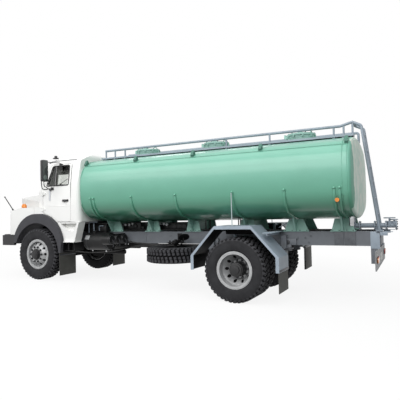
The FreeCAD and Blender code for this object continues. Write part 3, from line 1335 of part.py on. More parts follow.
def flare():
    """Left wheel-arch flare: band that bulges out over the tyre, with the liner of the arch."""
    cx, cz = WHEELBASE, ARCH_Z
    y0, y1 = CAB_HALF_WIDTH + SEAT_GAP, FLARE_OUTER_Y

    def at(angle, radius):
        turn = math.radians(angle)
        return Vector(cx + radius * math.cos(turn), y0, cz + radius * math.sin(turn))
    end = math.degrees(math.asin((FLARE_END_Z - cz) / 752))
    inner_end = math.degrees(math.asin((FLARE_END_Z - cz) / 690))
    outer = [at(17, 778), at(50, 866), at(93, FLARE_RADIUS), at(126, FLARE_PEAK_RADIUS),
             at(158, 838), at(180 - end, 752)]
    inner = [at(180 - inner_end, 690), at(90, FLARE_INNER_RADIUS), at(20, 690)]
    edges = [Part.Arc(outer[0], outer[1], outer[2]).toShape(),
             Part.Arc(outer[2], outer[3], outer[4]).toShape(),
             Part.makeLine(outer[4], outer[5]), Part.makeLine(outer[5], inner[0]),
             Part.Arc(inner[0], inner[1], inner[2]).toShape(), Part.makeLine(inner[2], outer[0])]
    band = Part.Face(Part.Wire(edges)).extrude(Vector(0, y1 - y0, 0))
    wide = y0 + FLARE_INNER_RADIUS - LINER_RADIUS
    liner = arch_cylinder(LINER_RADIUS + LINER_WALL, LINER_INNER_Y, wide)
    liner = liner.cut(arch_cylinder(LINER_RADIUS, LINER_INNER_Y - 1, wide + 1))
    low = block(cx - 2 * ARCH_RADIUS, cx + 2 * ARCH_RADIUS, 0, 2 * y1, cz - ARCH_RADIUS, FLARE_END_Z)
    front_low = block(cx, cx + 2 * ARCH_RADIUS, 0, 2 * y1, cz - ARCH_RADIUS, BUMPER_Z[0] + 40)
    return fused([band, liner.cut(low).cut(front_low)])


def arch_flares():
    return both_sides(flare())


def nose_surface_x(y):
    """Front of the nose panel at a distance from the middle."""
    share = abs(y) / CAB_HALF_WIDTH
    return NOSE_X - 118 * share ** 2


def mouth_outline(depth):
    """Rounded outline of the grille opening, moved inward by depth."""
    half = GRILLE_HALF_WIDTH
    low, high = GRILLE_Z
    return inset_corners([(-half, low, 60), (half, low, 60), (half, high, 60), (-half, high, 60)],
                         depth)


def grille():
    """Frame and level slats in the opening of the nose, in front of the radiator."""
    rear, front = GRILLE_X
    frame = prism_yz(mouth_outline(SEAT_GAP), rear, front)
    frame = frame.cut(prism_yz(mouth_outline(GRILLE_FRAME), rear - 1, front + 1))
    pieces = [frame]
    low, high = GRILLE_Z
    half = GRILLE_HALF_WIDTH - GRILLE_FRAME + 4
    pitch = (high - low - 2 * GRILLE_FRAME) / (SLAT_COUNT + 1)
    for index in range(SLAT_COUNT):
        z = low + GRILLE_FRAME + pitch * (index + 1)
        pieces.append(block(rear + 15, front - 10, -half, half, z - SLAT_HEIGHT / 2,
                            z + SLAT_HEIGHT / 2))
    pieces.append(block(rear + 5, rear + 30, -14, 14, low + 10, high - 10))
    return fused(pieces)


def headlamps():
    """Round lamps in the wing fronts, lens and bowl in one piece each."""
    front = nose_surface_x(LAMP_Y) - 30
    lamp = revolved([(-120, 0), (-120, 40), (-60, 92), (0, LAMP_RADIUS - SEAT_GAP),
                     (26, LAMP_RADIUS - SEAT_GAP), (44, 70), (50, 0)],
                    Vector(front, LAMP_Y, LAMP_Z), Vector(1, 0, 0))
    return both_sides(lamp)


def bumper_outline(depth):
    """Bowed bar with rounded corners and swept-back ends, moved inward by depth."""
    half = BUMPER_HALF_WIDTH
    corner_x = BUMPER_FRONT_X - BUMPER_SWEEP + 10
    return [(BUMPER_RETURN_X - depth / 60, half - depth, 0),
            (corner_x - depth, half - depth, 90 - depth / 2),
            (BUMPER_FRONT_X - depth, half * 0.45, 900), (BUMPER_FRONT_X - depth, -half * 0.45, 900),
            (corner_x - depth, depth - half, 90 - depth / 2),
            (BUMPER_RETURN_X - depth / 60, depth - half, 0)]


def front_bumper():
    """Bowed bumper with swept-back ends, on two brackets from the rails."""
    z0, z1 = BUMPER_Z
    hollow = prism_xy(bumper_outline(BUMPER_WALL), z0 - 5, z1 + 5)
    shell = prism_xy(bumper_outline(0), z0, z1).cut(hollow)
    horn = block(FRAME_FRONT_X + SEAT_GAP, BUMPER_FRONT_X - BUMPER_WALL + 10, RAIL_OUTER_Y - 70,
                 RAIL_OUTER_Y, z0 + 10, z1 - 10)
    return fused([shell] + both_sides(horn))


def step_skirt():
    """Left step panel under the door, drawn in towards its foot, with a recess and a lip."""
    top = CAB_BOTTOM_Z - SEAT_GAP
    low, floor = SKIRT_LIP_Z
    inner, outer = CAB_HALF_WIDTH - 220, CAB_HALF_WIDTH - 8
    body = prism_xz([(cab_x(140), low + 16, 20), (cab_x(560), low + 16, 0), (cab_x(660), top, 0),
                     (cab_x(10), top, 0)], inner, outer)
    lip = block(cab_x(130), cab_x(545), inner, outer, low, floor)
    tread = block(cab_x(130), cab_x(440), inner, outer + 38, low, floor)
    recess = prism_xz([(cab_x(160), 50, 30), (cab_x(350), 50, 30), (cab_x(570), 215, 10),
                       (cab_x(75), 215, 10)], inner + 85, outer + 88)
    hollow = prism_xz([(cab_x(160), -175, 10), (cab_x(540), -175, 10), (cab_x(540), 30, 10),
                       (cab_x(115), 30, 10)], inner - 20, outer - 27)
    piece = fused([body, lip, tread]).cut(recess).cut(hollow)
    return piece.cut(arch_cylinder(ARCH_RADIUS, 500, 1400))


def step_box():
    """Black box behind the left front flap, open towards the side, that carries the lower step."""
    x0, x1 = STEP_BOX_X
    y0, y1 = STEP_BOX_Y
    top = SKIRT_LIP_Z[0] - SEAT_GAP
    body = block(x0, x1, y0, y1, STEP_BOX_BOTTOM_Z, top)
    middle = (x0 + x1) / 2
    for start, end in ((x0, middle), (middle, x1)):
        room = block(start + 12, end - 12, y1 - 90, y1 + 1, STEP_BOX_BOTTOM_Z + 14, top - 14)
        body = body.cut(room)
    return body


def step_boxes():
    return both_sides(step_box())


def step_skirts():
    return both_sides(step_skirt())


# Side equipment

def drum_tank():
    """Cylindrical tank on the left of the frame with two cradle brackets and a filler cap."""
    x0, x1 = DRUM_TANK_X
    drum = revolved([(0, 0), (0, DRUM_TANK_RADIUS - 22), (18, DRUM_TANK_RADIUS),
                     (x1 - x0 - 18, DRUM_TANK_RADIUS), (x1 - x0, DRUM_TANK_RADIUS - 22),
                     (x1 - x0, 0)], Vector(x0, DRUM_TANK_Y, DRUM_TANK_Z), Vector(1, 0, 0))
    pieces = [drum]
    for x in (x0 + 120, x1 - 170):
        pieces.append(block(x, x + 50, RAIL_OUTER_Y + SEAT_GAP, DRUM_TANK_Y, DRUM_TANK_Z - 60,
                            DRUM_TANK_Z + 60))
    cap = Vector(x1 - 230, DRUM_TANK_Y + 40, DRUM_TANK_Z + DRUM_TANK_RADIUS - 20)
    pieces.append(rod(cap, cap + Vector(0, 20, 52), 52))
    return fused(pieces)


def drum_tanks():
    return both_sides(drum_tank())


def air_tanks():
    """Air reservoirs side by side behind the left drum tank, hung from one bracket."""
    x0, x1 = AIR_TANK_X
    pieces = []
    for y in AIR_TANK_Y:
        pieces.append(revolved([(0, 0), (0, 40), (14, AIR_TANK_RADIUS - 12), (34, AIR_TANK_RADIUS),
                                (x1 - x0, AIR_TANK_RADIUS), (x1 - x0, 0)],
                               Vector(x0, y, AIR_TANK_Z), AHEAD))
    pieces.append(block(x0 + 90, x0 + 150, RAIL_OUTER_Y + SEAT_GAP, AIR_TANK_Y[-1],
                        AIR_TANK_Z + 60, AIR_TANK_Z + AIR_TANK_RADIUS + 14))
    return fused(pieces)


def spare_tyre():
    return tyre_solid(Vector(SPARE_X, SPARE_Y, SPARE_Z), UP)


def spare_carrier():
    """Spare rim with its disc, and the two arms that hang it from the rail."""
    centre = Vector(SPARE_X, SPARE_Y, SPARE_Z)
    rim = rim_solid(centre, UP, 60, True)
    plate = rod(centre + Vector(0, 0, 40), centre + Vector(0, 0, 60), 95)
    post = rod(centre + Vector(0, 0, 50), centre + Vector(0, 0, 230), 30)
    beam = block(SPARE_X - 45, SPARE_X + 45, RAIL_OUTER_Y + SEAT_GAP, SPARE_Y + 40, SPARE_Z + 200,
                 SPARE_Z + 270)
    return fused([rim, plate, post, beam])


def guard():
    """Left rear mudguard folded from sheet, on two arms from the rail."""
    def fold(drop):
        return [(GUARD_REACH - drop, GUARD_BOTTOM_Z), (GUARD_REACH - drop, GUARD_KNEE_Z),
                (GUARD_TOP_REACH, GUARD_TOP_Z - drop), (-GUARD_TOP_REACH, GUARD_TOP_Z - drop),
                (drop - GUARD_REACH, GUARD_KNEE_Z), (drop - GUARD_REACH, GUARD_BOTTOM_Z)]
    corners = [(x, z, 0) for x, z in fold(0)] + [(x, z, 0) for x, z in reversed(fold(GUARD_SHEET))]
    sheet = prism_xz(corners, GUARD_INNER_Y, GUARD_OUTER_Y)
    edge = [(x, z, 0) for x, z in fold(0)] + [(x, z, 0) for x, z in reversed(fold(GUARD_LIP))]
    lip = prism_xz(edge, GUARD_OUTER_Y - GUARD_SHEET, GUARD_OUTER_Y)
    pieces = [sheet, lip]
    for x in (-300.0, 240.0):
        pieces.append(block(x, x + 50, RAIL_OUTER_Y + SEAT_GAP, GUARD_OUTER_Y - 60,
                            GUARD_TOP_Z - GUARD_SHEET - 36, GUARD_TOP_Z - GUARD_SHEET))
        pieces.append(block(x, x + 50, RAIL_OUTER_Y + SEAT_GAP, RAIL_OUTER_Y + 36, -160,
                            GUARD_TOP_Z - GUARD_SHEET))
    return fused(pieces)


def rear_mudguards():
    return both_sides(guard())


def rear_flap(bottom):
    x0 = GUARD_SHEET + SEAT_GAP - GUARD_REACH
    return block(x0, x0 + FLAP_WALL, GUARD_INNER_Y + 10, GUARD_OUTER_Y - GUARD_SHEET - SEAT_GAP,
                 bottom, GUARD_BOTTOM_Z + 90)


def mudflaps():
    """Rubber flaps behind all wheels, the right rear one cut shorter."""
    front = block(FRONT_FLAP_X, FRONT_FLAP_X + FLAP_WALL, 690, 1200, FRONT_FLAP_BOTTOM_Z,
                  FLARE_END_Z - SEAT_GAP)
    return both_sides(front) + [rear_flap(FLAP_BOTTOM_Z), mirrored(rear_flap(RIGHT_FLAP_BOTTOM_Z))]


def lamp_board():
    """Board across the rear, on the two channels of the frame."""
    return block(BOARD_X[0], BOARD_X[1], -BOARD_HALF_WIDTH, BOARD_HALF_WIDTH, BOARD_Z[0], BOARD_Z[1])


def rear_lamp(y, radius):
    face = Vector(BOARD_X[0] - SEAT_GAP, y, REAR_LAMP_Z)
    return rod(face, face - AHEAD * 26, radius)


def tail_lamps():
    return both_sides(rear_lamp(RED_LAMP_Y, 52))


def amber_lamps():
    """Turn lamps at the rear, on the wings and on the tank's flanks."""
    shapes = both_sides(rear_lamp(AMBER_LAMP_Y, 50))
    profile = [(0, 0), (0, 48), (40, 62), (82, 58), (114, 36), (122, 0)]
    foot = Vector(WING_LAMP_X, MARKER_Y, wing_top_z(WING_LAMP_X) - 12)
    shapes += both_sides(above_wings(revolved(profile, foot, UP)))
    flank = rod(Vector(FLANK_LAMP_X, FLANK_LAMP_Y - 200, FLANK_LAMP_Z),
                Vector(FLANK_LAMP_X, FLANK_LAMP_Y, FLANK_LAMP_Z), 34)
    shapes += both_sides(flank.cut(tank_prism(RIB_HEIGHT + SEAT_GAP, -1900, -1750)))
    return shapes


def discharge_pipe():
    """Outlet pipe from under the tank to the rear, with flanges, gate valves and handwheels."""
    sump = Vector(SUMP_X, PIPE_Y, PIPE_Z)
    pieces = [rod(sump, Vector(PIPE_END_X, PIPE_Y, PIPE_Z), PIPE_RADIUS)]
    foot = sump - Vector(0, 0, PIPE_RADIUS)
    pieces.append(rod(foot, foot + Vector(0, 0, 260), PIPE_RADIUS + 8))
    for x in FLANGES_X:
        face = Vector(x, PIPE_Y, PIPE_Z)
        pieces.append(rod(face, face - AHEAD * FLANGE_THICKNESS, FLANGE_OUTER_RADIUS))
    for x, height, wheel in VALVES:
        seat = Vector(x, PIPE_Y, PIPE_Z)
        low = seat + Vector(0, 0, height - HANDWHEEL_THICKNESS / 2)
        high = low + Vector(0, 0, HANDWHEEL_THICKNESS)
        pieces.append(rod(seat, seat + Vector(0, 0, height), 16))
        pieces.append(rod(seat, seat + Vector(0, 0, 75), 48))
        pieces.append(ring(low, high, wheel, wheel - 22))
        pieces.append(block(x - wheel + 10, x + wheel - 10, PIPE_Y - 9, PIPE_Y + 9,
                            low.z + 3, high.z - 3))
    pieces.append(block(-2360, -2320, PIPE_Y - 30, PIPE_Y + 60, SEAT_GAP - 20, PIPE_Z))
    body = fused(pieces).cut(tank_prism(SEAT_GAP, TANK_REAR_X - SEAT_GAP, SUMP_X + 200))
    return body.cut(dome(TANK_REAR_X - SEAT_GAP, -1, REAR_DOME))


def stay_rods():
    """Slim upright stays beside the fourth rib, from the rib down to the mudguard."""
    foot = Vector(10, 1205, GUARD_TOP_Z + SEAT_GAP)
    top = Vector(10, 1216, RIB_TOP_Z - 20)
    return both_sides(rod(foot, top, 9))


def marker_rods():
    """Slanting width markers with a ball on top, standing on the wings."""
    foot = Vector(MARKER_X, MARKER_Y, wing_top_z(MARKER_X))
    tip = foot + Vector(150, 136, 352)
    run = foot - tip
    run.normalize()
    body = rod(foot + run * 20, tip, MARKER_RADIUS).fuse(Part.makeSphere(MARKER_RADIUS + 6, tip))
    return both_sides(above_wings(body))


def nodes():
    left_front = Vector(WHEELBASE, FRONT_WHEEL_Y, FRONT_AXLE_Z)
    outer = Vector(0, REAR_OUTER_WHEEL_Y, REAR_AXLE_Z)
    inner = outer - Vector(0, DUAL_SPACING, 0)
    across = Vector(0, 1, 0)
    front_tyre = tyre_solid(left_front, across)
    rear_tyres = [tyre_solid(outer, across), tyre_solid(inner, across)]
    wheel = front_wheel()
    pair = rear_wheels()
    left_knuckle = knuckle()
    left_door = door()
    glass = door_glass()
    left_mirror = mirror()
    return {
        "chassis_frame": chassis_frame(),
        "front_axle": front_axle(),
        "rear_axle": rear_axle(),
        "leaf_springs": leaf_springs(),
        "driveline": driveline(),
        "engine": engine(),
        "tyre_front_left": front_tyre,
        "tyre_front_right": mirrored(front_tyre),
        "tyres_rear_left": rear_tyres,
        "tyres_rear_right": [mirrored(shape) for shape in rear_tyres],
        "wheel_front_left": wheel,
        "wheel_front_right": mirrored(wheel),
        "wheels_rear_left": pair,
        "wheels_rear_right": mirrored(pair),
        "knuckle_left": left_knuckle,
        "knuckle_right": mirrored(left_knuckle),
        "tie_rod": tie_rod(),
        "tank_shell": tank_shell(),
        "tank_saddles": tank_saddles(),
        "manhole_collars": manhole_collars(),
        "manhole_lid_front": manhole_lid(COLLAR_X[0]),
        "manhole_lid_middle": manhole_lid(COLLAR_X[1]),
        "manhole_lid_rear": manhole_lid(COLLAR_X[2]),
        "lifting_lugs": lifting_lugs(),
        "walkway": walkway(),
        "rails_and_ladder": rails_and_ladder(),
        "cab_shell": cab_shell(),
        "cab_glass": cab_glass(),
        "cab_interior": cab_interior(),
        "steering_wheel": steering_wheel(),
        "door_left": left_door,
        "door_right": mirrored(left_door),
        "door_glass_left": glass,
        "door_glass_right": [mirrored(shape) for shape in glass],
        "mirror_left": left_mirror,
        "mirror_right": mirrored(left_mirror),
        "bonnet": bonnet(),
        "front_wings": front_wings(),
        "arch_flares": arch_flares(),
        "grille": grille(),
        "headlamps": headlamps(),
        "front_bumper": front_bumper(),
        "step_skirts": step_skirts(),
        "step_boxes": step_boxes(),
        "drum_tanks": drum_tanks(),
        "air_tanks": air_tanks(),
        "spare_tyre": spare_tyre(),
        "spare_carrier": spare_carrier(),
        "rear_mudguards": rear_mudguards(),
        "mudflaps": mudflaps(),
        "lamp_board": lamp_board(),
        "tail_lamps": tail_lamps(),
        "amber_lamps": amber_lamps(),
        "discharge_pipe": discharge_pipe(),
        "stay_rods": stay_rods(),
        "marker_rods": marker_rods(),
    }


def write(name, shape, placement):
    solids = shape if isinstance(shape, list) else [shape]
    whole = Part.makeCompound([solid for piece in solids for solid in piece.Solids])
    whole.Placement = placement.multiply(whole.Placement)
    whole.exportStep(os.path.join("parts", name + ".step"))


def main():
    os.makedirs("parts", exist_ok=True)
    placement = row_placement()
    for name, shape in nodes().items():
        write(name, shape, placement)


if __name__ == "__main__":
    main()
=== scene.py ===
import json
import math

import bpy
from bpy.props import FloatProperty, FloatVectorProperty, IntProperty, PointerProperty
from mathutils import Matrix, Vector


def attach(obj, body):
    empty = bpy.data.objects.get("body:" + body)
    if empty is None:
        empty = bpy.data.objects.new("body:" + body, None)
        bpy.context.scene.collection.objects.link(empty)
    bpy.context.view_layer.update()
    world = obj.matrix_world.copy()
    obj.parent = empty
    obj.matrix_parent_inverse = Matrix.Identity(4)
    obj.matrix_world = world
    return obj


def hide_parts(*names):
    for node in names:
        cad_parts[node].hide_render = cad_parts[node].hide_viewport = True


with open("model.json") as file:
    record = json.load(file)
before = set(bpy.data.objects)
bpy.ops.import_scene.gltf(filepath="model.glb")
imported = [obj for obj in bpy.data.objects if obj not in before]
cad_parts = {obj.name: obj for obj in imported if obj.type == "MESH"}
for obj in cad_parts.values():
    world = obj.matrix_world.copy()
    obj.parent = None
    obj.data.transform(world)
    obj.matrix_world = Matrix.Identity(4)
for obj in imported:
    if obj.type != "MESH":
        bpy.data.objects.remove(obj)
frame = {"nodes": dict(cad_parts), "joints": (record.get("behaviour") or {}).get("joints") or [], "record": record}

bl_info = {
    "name": "Tanker Truck",
    "version": (1, 0, 0),
    "blender": (4, 5, 0),
    "location": "3D View > Sidebar > Tanker",
    "description": "Dresses the tanker truck with tread, fasteners, trim, paint and a studio",
    "category": "Object",
}

# Places in the chassis frame: X forward from the rear axle, Y to the left, Z up from the rails
WHEELBASE = 4.92
REAR_AXLE_Z = -0.665
FRONT_AXLE_Z = -0.485
LEAN = math.atan2(FRONT_AXLE_Z - REAR_AXLE_Z, WHEELBASE)
TYRE_RADIUS = 0.59
FRONT_WHEEL_Y = 1.03
REAR_WHEEL_Y = 1.062
DUAL_SPACING = 0.345
RAIL_Y = 0.43
DRUM_Y = 0.745
DRUM_Z = -0.2
AIR_TANK_Y = (0.56, 0.785, 1.01)
AIR_TANK_Z = -0.15
BELT_Z = 1.09
SKIN_Y = 1.1185
CREASE_Z = 0.612
DOOR_REAR_X = 3.9265
LAMP_Y = 0.83
CUSHIONS = (("driver", 0.32, 0.79), ("bench", -0.86, 0.12))
DIAL_Y = (0.46, 0.58, 0.7)
DIAL_Z = 0.945
LIDS = (("front", 2.565), ("middle", 0.82), ("rear", -1.005))
RIB_X = (3.31, 3.225, 2.24, 1.2, 0.01, -0.95, -1.78, -1.868)
RIB_END = (1.1895, 0.745)
RIB_RADIUS = 0.0245
SEAM_RADIUS = 0.0045
SIDES = ((1, "left"), (-1, "right"))


def joint_place(name):
    for joint in frame["joints"]:
        if joint["name"] == name:
            return Vector(joint["pos_m"])
    raise RuntimeError("no joint called " + name)


REAR_X = joint_place("rear_wheels_left_spin").x
CHASSIS = (Matrix.Translation((REAR_X, 0, TYRE_RADIUS)) @ Matrix.Rotation(LEAN, 4, 'Y')
           @ Matrix.Translation((0, 0, -REAR_AXLE_Z)))


def tone(code):
    """Linear colour from a six-figure code."""
    parts = [int(code[i:i + 2], 16) / 255 for i in (0, 2, 4)]
    return tuple(p / 12.92 if p <= 0.04045 else ((p + 0.055) / 1.055) ** 2.4 for p in parts)


# Bench tools

def deselect():
    if bpy.context.mode != 'OBJECT':
        bpy.ops.object.mode_set(mode='OBJECT')
    bpy.ops.object.select_all(action='DESELECT')


def pick(obj):
    deselect()
    obj.select_set(True)
    bpy.context.view_layer.objects.active = obj


def named(name):
    obj = bpy.context.active_object
    obj.name = name
    obj.data.name = name
    return obj


def settle(obj):
    """Move the object's place and size into its mesh."""
    pick(obj)
    bpy.ops.object.transform_apply(location=True, rotation=True, scale=True)
    return obj


def chamfer(obj, width, segments=2):
    pick(obj)
    cut = obj.modifiers.new("Chamfer", 'BEVEL')
    cut.width = width
    cut.segments = segments
    cut.limit_method = 'ANGLE'
    bpy.ops.object.modifier_apply(modifier=cut.name)
    return obj


def slab(name, low, high, edge=0.0):
    """Bevelled box between two corners."""
    low, high = Vector(low), Vector(high)
    deselect()
    bpy.ops.mesh.primitive_cube_add(size=1, location=(low + high) / 2, scale=high - low)
    obj = settle(named(name))
    return chamfer(obj, edge) if edge else obj


def bar(name, start, end, radius, sides=16, edge=0.0):
    """Round bar between two points."""
    start, end = Vector(start), Vector(end)
    run = end - start
    deselect()
    turn = run.to_track_quat('Z', 'Y').to_euler()
    bpy.ops.mesh.primitive_cylinder_add(vertices=sides, radius=radius, depth=run.length,
                                        location=(start + end) / 2, rotation=turn)
    obj = settle(named(name))
    return chamfer(obj, edge) if edge else obj


def turned(name, steps, sides, closed=False):
    """Ring about Y, drawn out loop by loop through steps of (y, radius)."""
    y, radius = steps[0]
    deselect()
    bpy.ops.mesh.primitive_circle_add(vertices=sides, radius=radius, location=(0, y, 0),
                                      rotation=(math.pi / 2, 0, 0))
    obj = settle(named(name))
    bpy.ops.object.mode_set(mode='EDIT')
    bpy.ops.mesh.select_all(action='SELECT')
    rest = steps[1:] + ([steps[0]] if closed else [])
    for next_y, next_radius in rest:
        bpy.ops.mesh.extrude_region_move(TRANSFORM_OT_translate={"value": (0, next_y - y, 0)})
        grow = next_radius / radius
        bpy.ops.transform.resize(value=(grow, 1, grow), center_override=(0, next_y, 0))
        y, radius = next_y, next_radius
    bpy.ops.mesh.select_all(action='SELECT')
    bpy.ops.mesh.remove_doubles(threshold=0.00005)
    bpy.ops.mesh.normals_make_consistent(inside=False)
    bpy.ops.object.mode_set(mode='OBJECT')
    return obj


def joined(name, pieces):
    deselect()
    for piece in pieces:
        piece.select_set(True)
    bpy.context.view_layer.objects.active = pieces[0]
    if len(pieces) > 1:
        bpy.ops.object.join()
    return named(name)


def copy_at(obj, matrix, name):
    """Copy with its own mesh, moved by matrix."""
    pick(obj)
    bpy.ops.object.duplicate(linked=False)
    twin = named(name)
    twin.matrix_world = matrix @ twin.matrix_world
    return settle(twin)


def moved(obj, matrix, name):
    """The piece itself, moved by matrix and given its name."""
    obj.matrix_world = matrix @ obj.matrix_world
    pick(obj)
    return settle(named(name))

def flipped(obj, name):
    """Mirror image on the other side of the vehicle."""
    twin = copy_at(obj, Matrix.Scale(-1, 4, (0, 1, 0)), name)
    pick(twin)
    bpy.ops.object.mode_set(mode='EDIT')
    bpy.ops.mesh.select_all(action='SELECT')
    bpy.ops.mesh.normals_make_consistent(inside=False)
    bpy.ops.object.mode_set(mode='OBJECT')
    return twin


def tube(name, points, radius, closed=False, rounds=2):
    """Round wire or hose through points."""
    deselect()
    bpy.ops.curve.primitive_nurbs_path_add(location=(0, 0, 0))
    obj = named(name)
    line = obj.data
    line.splines.clear()
    run = line.splines.new('POLY')
    run.points.add(len(points) - 1)
    for knot, place in zip(run.points, points):
        knot.co = (*place, 1)
    run.use_cyclic_u = closed
    line.dimensions = '3D'
    line.bevel_depth = radius
    line.bevel_resolution = rounds
    line.use_fill_caps = True
    bpy.ops.object.convert(target='MESH')
    return named(name)


def softened(corners, radius, steps=5, closed=True):
    """Points of an outline whose corners are rounded."""
    count = len(corners)
    points = []
    for index, corner in enumerate(corners):
        here = Vector(corner)
        if not closed and index in (0, count - 1):
            points.append(here)
            continue
        into = (Vector(corners[index - 1]) - here).normalized()
        out = (Vector(corners[(index + 1) % count]) - here).normalized()
        start, end = here + into * radius, here + out * radius
        for step in range(steps + 1):
            share = step / steps
            points.append(start * (1 - share) ** 2 + here * 2 * share * (1 - share)
                          + end * share ** 2)
    return points


def bolts(name, places, axis, radius, height):
    """Hexagon heads standing on places along axis."""
    heads = []
    for place in places:
        start = Vector(place)
        heads.append(bar(name, start, start + Vector(axis) * height, radius, 6))
    return joined(name, heads)

def sided(side, *boxes):
    """Boxes given for the left side, on the right when side is -1."""
    return [((x0, min(side * y0, side * y1), z0), (x1, max(side * y0, side * y1), z1))
            for (x0, y0, z0), (x1, y1, z1) in boxes]

def sided_bars(side, *bars):
    """Bars given for the left side, on the right when side is -1."""
    return [((x0, side * y0, z0), (x1, side * y1, z1), radius)
            for (x0, y0, z0), (x1, y1, z1), radius in bars]


def assembled(name, slabs=(), bars=(), edge=0.003):
    """One piece from boxes between corners and round bars between points."""
    pieces = [slab(name, low, high, edge) for low, high in slabs]
    for start, end, radius in bars:
        pieces.append(bar(name, start, end, radius, 32 if radius > 0.03 else 16,
                          min(edge, radius * 0.3)))
    return joined(name, pieces)


def hoop(name, centre, axis, radius, thick, sides=48):
    """Round ring of round wire."""
    deselect()
    turn = Vector(axis).to_track_quat('Z', 'Y').to_euler()
    bpy.ops.mesh.primitive_torus_add(location=centre, rotation=turn, major_radius=radius,
                                     minor_radius=thick, major_segments=sides, minor_segments=8)
    return settle(named(name))


def circle_of(centre, radius, count, start=0.0):
    """Places round the X axis through centre."""
    x, y, z = centre
    turns = [start + 2 * math.pi * index / count for index in range(count)]
    return [(x, y + radius * math.cos(turn), z + radius * math.sin(turn)) for turn in turns]


def repeated(obj, count, step):
    """Row of count copies, each moved on by step, in one mesh."""
    pick(obj)
    row = obj.modifiers.new("Row", 'ARRAY')
    row.count = count
    row.use_relative_offset = False
    row.use_constant_offset = True
    row.constant_offset_displace = step
    bpy.ops.object.modifier_apply(modifier=row.name)
    return obj


def around(obj, count, axis=(0, 1, 0), centre=(0, 0, 0)):
    """Repeat a piece round an axis, in its own mesh."""
    pick(obj)
    bpy.ops.object.mode_set(mode='EDIT')
    bpy.ops.mesh.select_all(action='SELECT')
    bpy.ops.mesh.spin(steps=count, dupli=True, angle=2 * math.pi, center=centre, axis=axis)
    bpy.ops.mesh.select_all(action='SELECT')
    bpy.ops.mesh.remove_doubles(threshold=0.0001)
    bpy.ops.object.mode_set(mode='OBJECT')
    return obj


def both(obj, body, finish, other_body=None):
    """Fit a left piece and its mirror image on the right."""
    twin = flipped(obj, obj.name.replace("left", "right"))
    fit(twin, other_body or body, finish)
    return fit(obj, body, finish)


def round_off(obj, degrees=35):
    pick(obj)
    bpy.ops.object.shade_smooth_by_angle(angle=math.radians(degrees))
    return obj


def fit(obj, body, finish):
    """Set a finished piece on the leaning chassis, paint it and fix it to its body."""
    obj.matrix_world = CHASSIS @ obj.matrix_world
    settle(obj)
    if finish:
        obj.data.materials.clear()
        obj.data.materials.append(bpy.data.materials[finish])
    round_off(obj)
    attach(obj, body)
    return obj


# Finishes

def new_finish(name):
    material = bpy.data.materials.new(name)
    material.use_nodes = True
    material.node_tree.nodes.clear()
    nodes = material.node_tree.nodes
    output = nodes.new('ShaderNodeOutputMaterial')
    shader = nodes.new('ShaderNodeBsdfPrincipled')
    material.node_tree.links.new(shader.outputs['BSDF'], output.inputs['Surface'])
    return material, shader


def pattern(material, scale, detail=3.0, stretch=(1, 1, 1)):
    """Noise over object coordinates; returns its value socket."""
    nodes, links = material.node_tree.nodes, material.node_tree.links
    coords = nodes.new('ShaderNodeTexCoord')
    mapping = nodes.new('ShaderNodeMapping')
    mapping.inputs['Scale'].default_value = stretch
    noise = nodes.new('ShaderNodeTexNoise')
    noise.inputs['Scale'].default_value = scale
    noise.inputs['Detail'].default_value = detail
    links.new(coords.outputs['Object'], mapping.inputs['Vector'])
    links.new(mapping.outputs['Vector'], noise.inputs['Vector'])
    return noise.outputs['Fac']


def ramp(material, value, low, high, first, second):
    """Blend from one colour to the other as value goes from low to high."""
    nodes, links = material.node_tree.nodes, material.node_tree.links
    node = nodes.new('ShaderNodeValToRGB')
    node.color_ramp.elements[0].position = low
    node.color_ramp.elements[0].color = (*first, 1)
    node.color_ramp.elements[1].position = high
    node.color_ramp.elements[1].color = (*second, 1)
    links.new(value, node.inputs['Fac'])
    return node.outputs['Color']


def shade_of(colour, factor):
    return tuple(min(1.0, c * factor) for c in colour)


def bumped(material, shader, value, strength, distance):
    nodes, links = material.node_tree.nodes, material.node_tree.links
    bump = nodes.new('ShaderNodeBump')
    bump.inputs['Strength'].default_value = strength
    bump.inputs['Distance'].default_value = distance
    links.new(value, bump.inputs['Height'])
    links.new(bump.outputs['Normal'], shader.inputs['Normal'])


def paint(name, colour, roughness, dirt=0.9, coat=0.0, metallic=0.0, scale=3.0, bump=0.0,
          gloss=0.5):
    """Painted or plain surface with soft cloudy variation."""
    material, shader = new_finish(name)
    cloud = pattern(material, scale)
    tint = ramp(material, cloud, 0.35, 0.7, shade_of(colour, dirt), colour)
    material.node_tree.links.new(tint, shader.inputs['Base Color'])
    shader.inputs['Roughness'].default_value = roughness
    shader.inputs['Metallic'].default_value = metallic
    shader.inputs['Specular IOR Level'].default_value = gloss
    shader.inputs['Coat Weight'].default_value = coat
    shader.inputs['Coat Roughness'].default_value = 0.08
    if bump:
        bumped(material, shader, pattern(material, 60.0), bump, 0.002)
    return material


def lens(name, colour):
    material, shader = new_finish(name)
    cloud = pattern(material, 40.0)
    tint = ramp(material, cloud, 0.3, 0.7, shade_of(colour, 0.8), colour)
    material.node_tree.links.new(tint, shader.inputs['Base Color'])
    shader.inputs['Roughness'].default_value = 0.15
    shader.inputs['Coat Weight'].default_value = 0.6
    return material


def range_of(material, value, low, high, first=0.0, second=1.0):
    """Value taken from low to high onto first to second, clamped."""
    nodes, links = material.node_tree.nodes, material.node_tree.links
    node = nodes.new('ShaderNodeMapRange')
    node.inputs['From Min'].default_value = low
    node.inputs['From Max'].default_value = high
    node.inputs['To Min'].default_value = first
    node.inputs['To Max'].default_value = second
    links.new(value, node.inputs['Value'])
    return node.outputs['Result']


